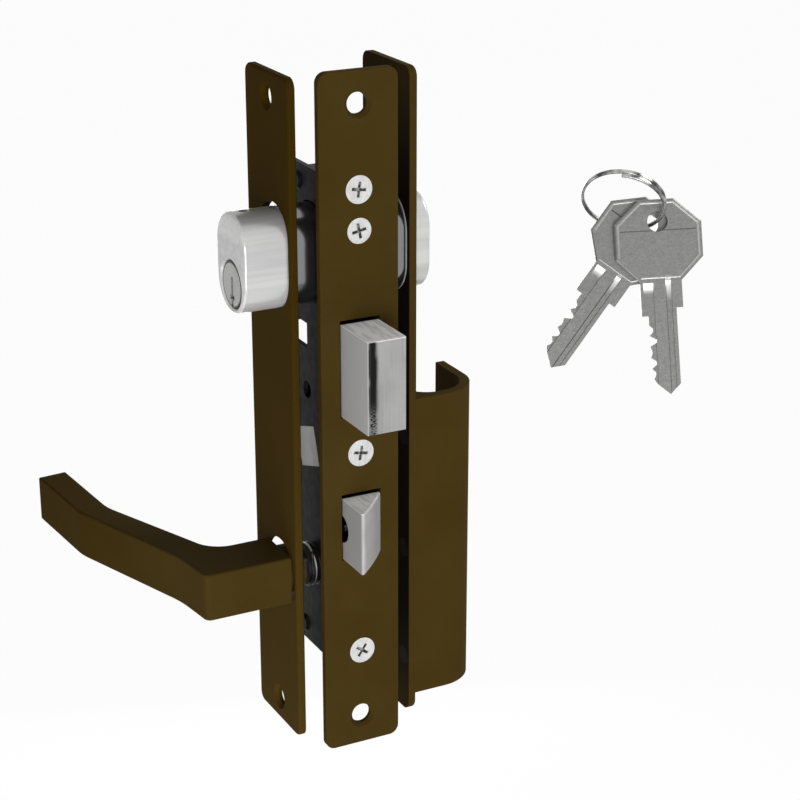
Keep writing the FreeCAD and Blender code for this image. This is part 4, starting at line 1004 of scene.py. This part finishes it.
def helix(
    turns: float, radius: float, length: float, steps: int = 28, closed_share: float = 0.7,
) -> np.ndarray:
    """Points of a compression spring along Z with a closed turn at each end.

    Formula: (r cos a, r sin a, z), where a runs from 0 to the turns times a full turn, and z is the
    length times s with s eased so that the first and last turns lie flat.

    Args:
        turns: number of turns.
        radius: radius of the wire's middle.
        length: free length between the wire's middles.
        steps: points to a turn.
        closed_share: share of the first and last turns that lies flat.

    Returns:
        The points.
    """
    share = np.linspace(0.0, 1.0, int(turns * steps) + 1)
    flat = closed_share / turns
    ramp = np.clip((share - flat) / (1.0 - 2.0 * flat), 0.0, 1.0)
    angle = 2.0 * math.pi * turns * share
    return np.stack([radius * np.cos(angle), radius * np.sin(angle), length * ramp], axis=-1)


@dataclass
class SubAssembly:
    """Pieces of the lock that are dressed and built together."""

    palette: Palette

    def finishes(self) -> dict[str, bpy.types.Material]:
        """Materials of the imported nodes, by the nodes' names."""
        raise NotImplementedError

    def additions(self) -> list[str]:
        """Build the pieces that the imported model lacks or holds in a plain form, and name them."""
        return []

    def build(self, frame: Mapping[str, Any]) -> list[str]:
        """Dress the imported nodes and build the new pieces.


        Returns:
            The names of the dressed and new pieces.
        """
        finishes = self.finishes()
        for node, material in finishes.items():
            mesh = frame["nodes"][node].data
            if not mesh.materials:
                mesh.materials.append(material)
            for index in range(len(mesh.materials)):
                mesh.materials[index] = material
        return [*finishes, *self.additions()]


@dataclass
class Faceplate(SubAssembly):
    """Painted faceplate and the screws in it."""

    def finishes(self) -> dict[str, bpy.types.Material]:
        """Paint on the plate and bright zinc on its screws."""
        return {
            "faceplate": self.palette.paint,
            "faceplate_screws": self.palette.screw,
            "cylinder_retaining_screw": self.palette.screw,
        }


@dataclass
class LockCase(SubAssembly):
    """Plated case with its front plate, cover, rivets and blank label."""

    def finishes(self) -> dict[str, bpy.types.Material]:
        """Dark zinc on the case and film on its label."""
        return {
            "case_front_plate": self.palette.zinc,
            "case_body": self.palette.zinc,
            "case_cover": self.palette.zinc,
            "case_rivets": self.palette.zinc,
            "case_label": self.palette.film,
        }


@dataclass
class KeyCylinder(SubAssembly):
    """Oval cylinder with its plugs, clips, pins, springs and cam."""

    wire_radius: float = 0.16 * MM
    turns: float = 7.0
    steps: int = 14
    sides: int = 6
    stacks: int = 5

    def finishes(self) -> dict[str, bpy.types.Material]:
        """Chrome on the cylinder and its plugs, brass on the pins, and steel on the rest.

        Returns:
            The materials, by the nodes' names.
        """
        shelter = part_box("exterior_escutcheon")[0].x
        finishes = {
            "cylinder_body": SatinChrome(shelter=shelter).material(),
            "cylinder_cam": self.palette.sintered,
        }
        for side in ("interior", "exterior"):
            low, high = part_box(f"{side}_plug")
            finishes[f"{side}_plug"] = BrushedMetal(
                name=f"{side}_plug_chrome", light=(184, 184, 183), dark=(158, 158, 157), metallic=0.35,
                rim_centre=tuple((low + high) / 2.0), rim_radius=(high.z - low.z) / 2.0).material()
            finishes[f"{side}_plug_clip"] = self.palette.wire
            finishes[f"{side}_key_pins"] = self.palette.brass
            finishes[f"{side}_driver_pins"] = self.palette.brass
            finishes[f"{side}_chamber_caps"] = self.palette.brass
            finishes[f"{side}_pin_springs"] = self.palette.wire
        return finishes

    def additions(self) -> list[str]:
        """Wind the pin springs of both ends."""
        return [self.wind_pin_springs(side) for side in ("interior", "exterior")]

    def wind_pin_springs(self, side: str) -> str:
        """Wind the five pin springs of one end in place of their tubes.

        Args:
            side: interior or exterior.

        Returns:
            The new piece's name.
        """
        low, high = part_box(f"{side}_pin_springs")
        reach = (high.y - low.y) / 2.0 - self.wire_radius
        first = low.x + reach + self.wire_radius
        pitch = (high.x - low.x - 2.0 * (reach + self.wire_radius)) / (self.stacks - 1)
        coil = helix(self.turns, reach, high.z - low.z - 2.0 * self.wire_radius, self.steps)
        made = None
        for index in range(self.stacks):
            spot = np.array([first + index * pitch, (low.y + high.y) / 2.0, low.z + self.wire_radius])
            one = wire_along(f"{side}_pin_coils", coil + spot, self.wire_radius, self.sides)
            made = one if made is None else join(made, one)
        made.name = f"{side}_pin_coils"
        made.data.materials.append(self.palette.wire)
        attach(made, "lock_case")
        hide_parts(f"{side}_pin_springs")
        return made.name


def join(first: bpy.types.Object, second: bpy.types.Object) -> bpy.types.Object:
    """Put a second object's mesh into the first one's.

    Args:
        first: the object that stays.
        second: the object that goes.

    Returns:
        The first object.
    """
    both = bmesh.new()
    both.from_mesh(first.data)
    both.from_mesh(second.data)
    both.to_mesh(first.data)
    both.free()
    bpy.data.objects.remove(second)
    return first


@dataclass
class BoltWork(SubAssembly):
    """Deadbolt, latch, follower and the springs behind them."""

    wire_radius: float = 0.3 * MM
    turns: float = 10.0
    travel: float = 13.3 * MM
    highlight_turn: Span = (1.1 * MM, 1.75 * MM)

    def finishes(self) -> dict[str, bpy.types.Material]:
        """Plated steel on the bolts and dark steel behind them."""
        coil_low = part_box("follower_spring")[0].x
        return {
            "deadbolt": BoltSteel(
                name="deadbolt_steel", box=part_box("deadbolt"), with_end_reflection=True).material(),
            "latch_bolt": BoltSteel(
                name="latch_steel", box=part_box("latch_bolt"), light=(186, 186, 185),
                dark=(168, 168, 167), flank=(180, 180, 179)).material(),
            "latch_pin": self.palette.pin,
            "latch_tail": self.palette.sintered,
            "latch_spring": self.palette.wire,
            "follower": self.palette.sintered,
            "spindle": self.palette.sintered,
            "follower_spring": TorsionWire(
                highlight_turn=tuple(coil_low + edge for edge in self.highlight_turn)).material(),
        }

    def additions(self) -> list[str]:
        """Wind the latch's spring."""
        return [self.wind_latch_spring()]

    def wind_latch_spring(self) -> str:
        """Wind the spring behind the latch's lug.

        Returns:
            The new piece's name.
        """
        low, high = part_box("latch_spring")
        middle = (low + high) / 2.0
        length = high.y - low.y
        reach = (high.x - low.x) / 2.0 - self.wire_radius
        coil = helix(self.turns, reach, length - 2.0 * self.wire_radius)
        path = np.stack([
            coil[:, 0] + middle.x, coil[:, 2] + low.y + self.wire_radius, middle.z - coil[:, 1]], axis=-1)
        made = wire_along("latch_coil", path, self.wire_radius)
        made.data.materials.append(self.palette.wire)
        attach(made, "lock_case")
        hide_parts("latch_spring")
        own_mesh(made)
        return made.name


@dataclass
class LeverSet(SubAssembly):
    """Long plate, lever and grub screw of the inside."""

    def finishes(self) -> dict[str, bpy.types.Material]:
        """Paint on the plate and the lever, and black oxide on the screw."""
        # The plate's face against the door gets painted shade; plate and lever get painted shade towards
        # their heads.
        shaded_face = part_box("interior_escutcheon")[1].x
        return {
            "interior_escutcheon": BronzePaint(
                name="interior_plate_paint", lit=(78, 60, 23), deep=(72, 55, 19), head=(59, 43, 7),
                shaded_face=shaded_face).material(),
            "lever_handle": BronzePaint(
                name="lever_paint", head=(60, 45, 8), shade_axis="Y",
                shade_fade=(30.0 * MM, 95.0 * MM)).material(),
            "lever_grub_screw": self.palette.oxide,
        }


@dataclass
class PullSet(SubAssembly):
    """Long plate, pull and screws of the outside."""

    def finishes(self) -> dict[str, bpy.types.Material]:
        """Paint on the plate and the pull, and black oxide on the screws."""
        # The plate's face against the door gets painted shade.
        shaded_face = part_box("exterior_escutcheon")[0].x
        return {
            "exterior_escutcheon": BronzePaint(
                name="exterior_plate_paint", shaded_face=shaded_face).material(),
            "pull_handle": self.palette.paint,
            "pull_screws": self.palette.oxide,
        }


@dataclass(frozen=True)
class KeyPlace:
    """Place of a key on the ring, and how dark the painted shade in its marks is.

    Its hole lies a distance across and down from the ring's middle, and its middle plane a distance
    behind the front key's. Its roll is in degrees.
    """

    across: float
    down: float
    behind: float
    roll: float
    shade_strength: float


@dataclass
class KeySet(SubAssembly):
    """Two keys on a split ring.

    The ring's middle is given right, up and near in the plane that faces the photograph's camera.
    """

    ring_middle: Triple = (74.07 * MM, 63.99 * MM, 3.0 * MM)
    ring_radius: float = 11.6 * MM
    ring_pitch: float = 1.35 * MM
    ring_turns: float = 1.25
    ring_start: float = 15.0
    ring_roll: float = -15.0
    ring_tip: float = 56.0
    plane_turn: float = 27.3
    plane_lean: float = 20.65
    ring_steps: int = 180
    ring_sides: int = 20
    half_thick: float = 0.45 * MM
    half_wide: float = 0.62 * MM
    boxiness: float = 0.6
    key_half: float = 0.9 * MM
    rim_inset: float = 1.05 * MM
    rim_half_width: float = 0.32 * MM
    rim_rise: float = 0.15 * MM
    rim_sides: int = 14
    head_corners: tuple[Span, ...] = (
        (-5.9, -16.9), (5.9, -16.9), (12.4, -10.4), (12.4, -0.4), (5.0, 6.3), (-5.0, 6.3), (-12.4, -0.4),
        (-12.4, -10.4))
    places: Mapping[str, KeyPlace] = field(default_factory=lambda: {
        "key_front": KeyPlace(across=9.7 * MM, down=6.2 * MM, behind=0.0, roll=3.3, shade_strength=0.55),
        "key_back": KeyPlace(across=7.25 * MM, down=7.0 * MM, behind=2.3 * MM, roll=-35.5, shade_strength=0.9),
    })

    def finishes(self) -> dict[str, bpy.types.Material]:
        """Worn nickel on the keys, each with its own marks, and steel on the ring.

        Returns:
            The materials, by the nodes' names.
        """
        finishes = {"key_ring": self.palette.ring}
        for key, place in self.places.items():
            spot, axes = self.stand(place)
            turn = Matrix(axes.T.tolist()).to_euler("XYZ")
            finishes[key] = WornNickel(
                name=f"{key}_nickel", spot=spot.tolist(), turn=turn, shade_strength=place.shade_strength).material()
        return finishes

    def additions(self) -> list[str]:
        """Raise the beads on the keys' heads and wind the ring."""
        rims = [self.raise_rim(key, place) for key, place in self.places.items()]
        return [*rims, self.wind_ring()]

    def stand(self, place: KeyPlace) -> tuple[np.ndarray, np.ndarray]:
        """Middle of a key's hole, and the key's own three directions as rows.

        Args:
            place: the key's place.

        Returns:
            The point and the directions, both in the lock's frame.
        """
        spot = np.array([
            self.ring_middle[0] + place.across, self.ring_middle[1] - place.down, -place.behind])
        turned = np.array(Matrix.Rotation(math.radians(place.roll), 3, "Z")).T
        return spot @ self.plane(), turned @ self.plane()

    def plane(self) -> np.ndarray:
        """Right, up and near directions of the plane that faces the photograph's camera, as rows."""
        swing, lean = math.radians(self.plane_turn), math.radians(self.plane_lean)
        right = Vector((math.cos(swing), -math.sin(swing), 0.0))
        near = Vector((-math.sin(swing) * math.cos(lean), -math.cos(swing) * math.cos(lean), math.sin(lean)))
        return np.array([right, near.cross(right), near])

    def raise_rim(self, key: str, place: KeyPlace) -> str:
        """Raise a bead inside the edge of a key's head, on its front and on its back.

        Formula: corner i of the head moves inwards along its mitre vector, the sum of its two edges'
        inward normals over 1 plus their product, by the inset plus the bead's half width times cos b,
        and the height over the face is the bead's rise times sin b.

        Args:
            key: the key's body and node.
            place: the key's place.

        Returns:
            The new piece's name.
        """
        corners = np.array(self.head_corners) * MM
        edges = np.diff(corners, axis=0, append=corners[:1])
        edges /= np.linalg.norm(edges, axis=1, keepdims=True)
        after = np.stack([-edges[:, 1], edges[:, 0]], axis=-1)
        before = np.roll(after, 1, axis=0)
        mitre = (before + after) / (1.0 + (before * after).sum(axis=1, keepdims=True))
        side = np.linspace(0.0, 2.0 * math.pi, self.rim_sides, endpoint=False)
        inwards = self.rim_inset + self.rim_half_width * np.cos(side)
        flat = corners[:, None] + inwards[None, :, None] * mitre[:, None]
        spot, axes = self.stand(place)
        made = None
        for face in (1.0, -1.0):
            height = face * (self.key_half + self.rim_rise * np.sin(side))
            raised = np.broadcast_to(height[None, :, None], (*flat.shape[:2], 1))
            local = np.concatenate([flat, raised], axis=-1)
            one = outwards(surface(f"{key}_rim", local @ axes + spot, (False, True)))
            made = one if made is None else join(made, one)
        made.name = f"{key}_rim"
        made.data.shade_flat()
        made.data.materials.append(self.palette.rim)
        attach(made, key)
        return made.name

    def wind_ring(self) -> str:
        """Wind the split ring of flattened wire in place of its round one.

        Formula: with the turn angle a and the section's angle b, the distance from the ring's axis is
        the ring's radius plus half the thickness times cos b, and the height along the axis is the
        pitch times a over a full turn, plus half the width times sin b, where cos and sin keep their
        signs and are raised to the power of the boxiness, which rounds a rectangle's corners.

        Returns:
            The new piece's name.
        """
        first = math.radians(self.ring_start)
        turn = np.linspace(0.0, 2.0 * math.pi * self.ring_turns, self.ring_steps)[:, None]
        side = np.linspace(0.0, 2.0 * math.pi, self.ring_sides, endpoint=False)[None, :]
        thick = self.half_thick * np.sign(np.cos(side)) * np.abs(np.cos(side)) ** self.boxiness
        wide = self.half_wide * np.sign(np.sin(side)) * np.abs(np.sin(side)) ** self.boxiness
        reach = self.ring_radius + thick
        height = self.ring_pitch * turn / (2.0 * math.pi) + wide
        local = np.stack([reach * np.cos(first + turn), reach * np.sin(first + turn), height], axis=-1)
        tilt = Matrix.Rotation(math.radians(self.ring_roll), 3, "Z") @ Matrix.Rotation(
            math.radians(self.ring_tip), 3, "X")
        points = (local @ np.array(tilt).T + np.array(self.ring_middle)) @ self.plane()
        made = outwards(surface("key_ring_band", points, (False, True)))
        made.data.materials.append(self.palette.ring)
        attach(made, "lock_case")
        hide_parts("key_ring")
        return made.name


@dataclass(frozen=True)
class Softbox:
    """Square lamp with its place, the length of its side and its power in watts."""

    name: str
    spot: Triple
    size: float
    power: float


@dataclass
class Studio:
    """Pale floor, soft lights and the camera at the photograph's angle.

    The lamps light the lock from the front, from above, from low on the lever's side and from behind.
    """

    eye: Triple = (-0.23981, -0.48870, 0.21300)
    azimuth: float = -27.305
    elevation: float = 20.652
    lens: float = 93.017
    sensor: float = 36.0
    clip: Span = (0.01, 50.0)
    floor_drop: float = 0.35
    floor_size: float = 12.0
    floor_shade: Shade = (240, 240, 240)
    white_share: float = 0.96
    sky: float = 0.25
    lamps: tuple[Softbox, ...] = (
        Softbox("front_softbox", (-0.442, -1.215, -0.136), 0.5, 10.6),
        Softbox("overhead_softbox", (0.75, -0.12, 0.67), 0.4, 4.2),
        Softbox("side_softbox", (-0.30, -0.10, -0.34), 0.2, 0.3),
        Softbox("back_softbox", (0.254, 0.693, -0.18), 0.45, 2.4),
    )

    def build(self) -> None:
        """Set up the floor, the lights, the world and the camera."""
        bpy.context.scene.view_settings.view_transform = "Standard"
        self.lay_floor()
        self.light_up()
        self.aim()

    def lay_floor(self) -> None:
        """Lay a wide pale floor, far enough below the lock that its shadow is soft."""
        half = self.floor_size / 2.0
        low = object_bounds()[0]
        across = np.linspace(-half, half, 3)
        grid = np.stack([*np.meshgrid(across, across, indexing="ij"),
                         np.full((3, 3), low[2] - self.floor_drop)], axis=-1)
        floor = surface("floor", grid, (False, False))
        recipe = Recipe.named("floor_white")
        matt = recipe.node("ShaderNodeBsdfDiffuse", None, {"Color": srgb(*self.floor_shade)})
        glow = recipe.node("ShaderNodeEmission", None, {"Color": WHITE, "Strength": 1.0})
        shown = self.white_share * recipe.background_rays()
        mixed = recipe.node("ShaderNodeMixShader", None, {0: shown, 1: matt.outputs[0], 2: glow.outputs[0]})
        recipe.node("ShaderNodeOutputMaterial", None, {"Surface": mixed.outputs[0]})
        floor.data.materials.append(recipe.owner)
        floor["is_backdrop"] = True

    def light_up(self) -> None:
        """Set up the world, which shows white and lights weakly, and hang the lamps."""
        world = bpy.data.worlds.new("studio")
        bpy.context.scene.world = world
        recipe = Recipe(world)
        ambient = recipe.node("ShaderNodeBackground", None, {"Color": WHITE, "Strength": self.sky})
        white = recipe.node("ShaderNodeBackground", None, {"Color": WHITE, "Strength": 1.0})
        mixed = recipe.node(
            "ShaderNodeMixShader", None,
            {0: recipe.background_rays(), 1: ambient.outputs[0], 2: white.outputs[0]})
        recipe.node("ShaderNodeOutputWorld", None, {"Surface": mixed.outputs[0]})
        for lamp in self.lamps:
            self.hang(lamp)

    def hang(self, lamp: Softbox) -> None:
        """Hang a lamp and aim it at the lock.

        Args:
            lamp: the lamp.
        """
        data = bpy.data.lights.new(lamp.name, "AREA")
        data.size = lamp.size
        data.energy = lamp.power
        hung = bpy.data.objects.new(lamp.name, data)
        hung.visible_camera = False
        hung.location = lamp.spot
        hung.rotation_euler = (-Vector(lamp.spot)).to_track_quat("-Z", "Y").to_euler()
        bpy.context.scene.collection.objects.link(hung)

    def aim(self) -> None:
        """Put the camera where the photograph was taken from."""
        data = bpy.data.cameras.new("camera")
        data.sensor_fit = "HORIZONTAL"
        data.sensor_width = self.sensor
        data.lens = self.lens
        data.clip_start, data.clip_end = self.clip
        azimuth, elevation = math.radians(self.azimuth), math.radians(self.elevation)
        away = Vector((
            math.sin(azimuth) * math.cos(elevation), -math.cos(azimuth) * math.cos(elevation),
            math.sin(elevation)))
        camera = bpy.data.objects.new("camera", data)
        turned = (-away).to_track_quat("-Z", "Y").to_matrix().to_4x4()
        camera.matrix_world = Matrix.Translation(self.eye) @ turned
        bpy.context.scene.collection.objects.link(camera)
        bpy.context.scene.camera = camera


def main() -> None:
    """Load the frame, dress and build each sub-assembly, and set up the studio."""
    logging.basicConfig(level=logging.INFO, format="%(name)s: %(message)s")
    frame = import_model()
    palette = Palette()
    for assembly in (Faceplate, LockCase, KeyCylinder, BoltWork, LeverSet, PullSet, KeySet):
        for name in assembly(palette).build(frame):
            LOG.info("%s: %s", assembly.__name__, name)
    Studio().build()


if __name__ == "__main__":
    main()
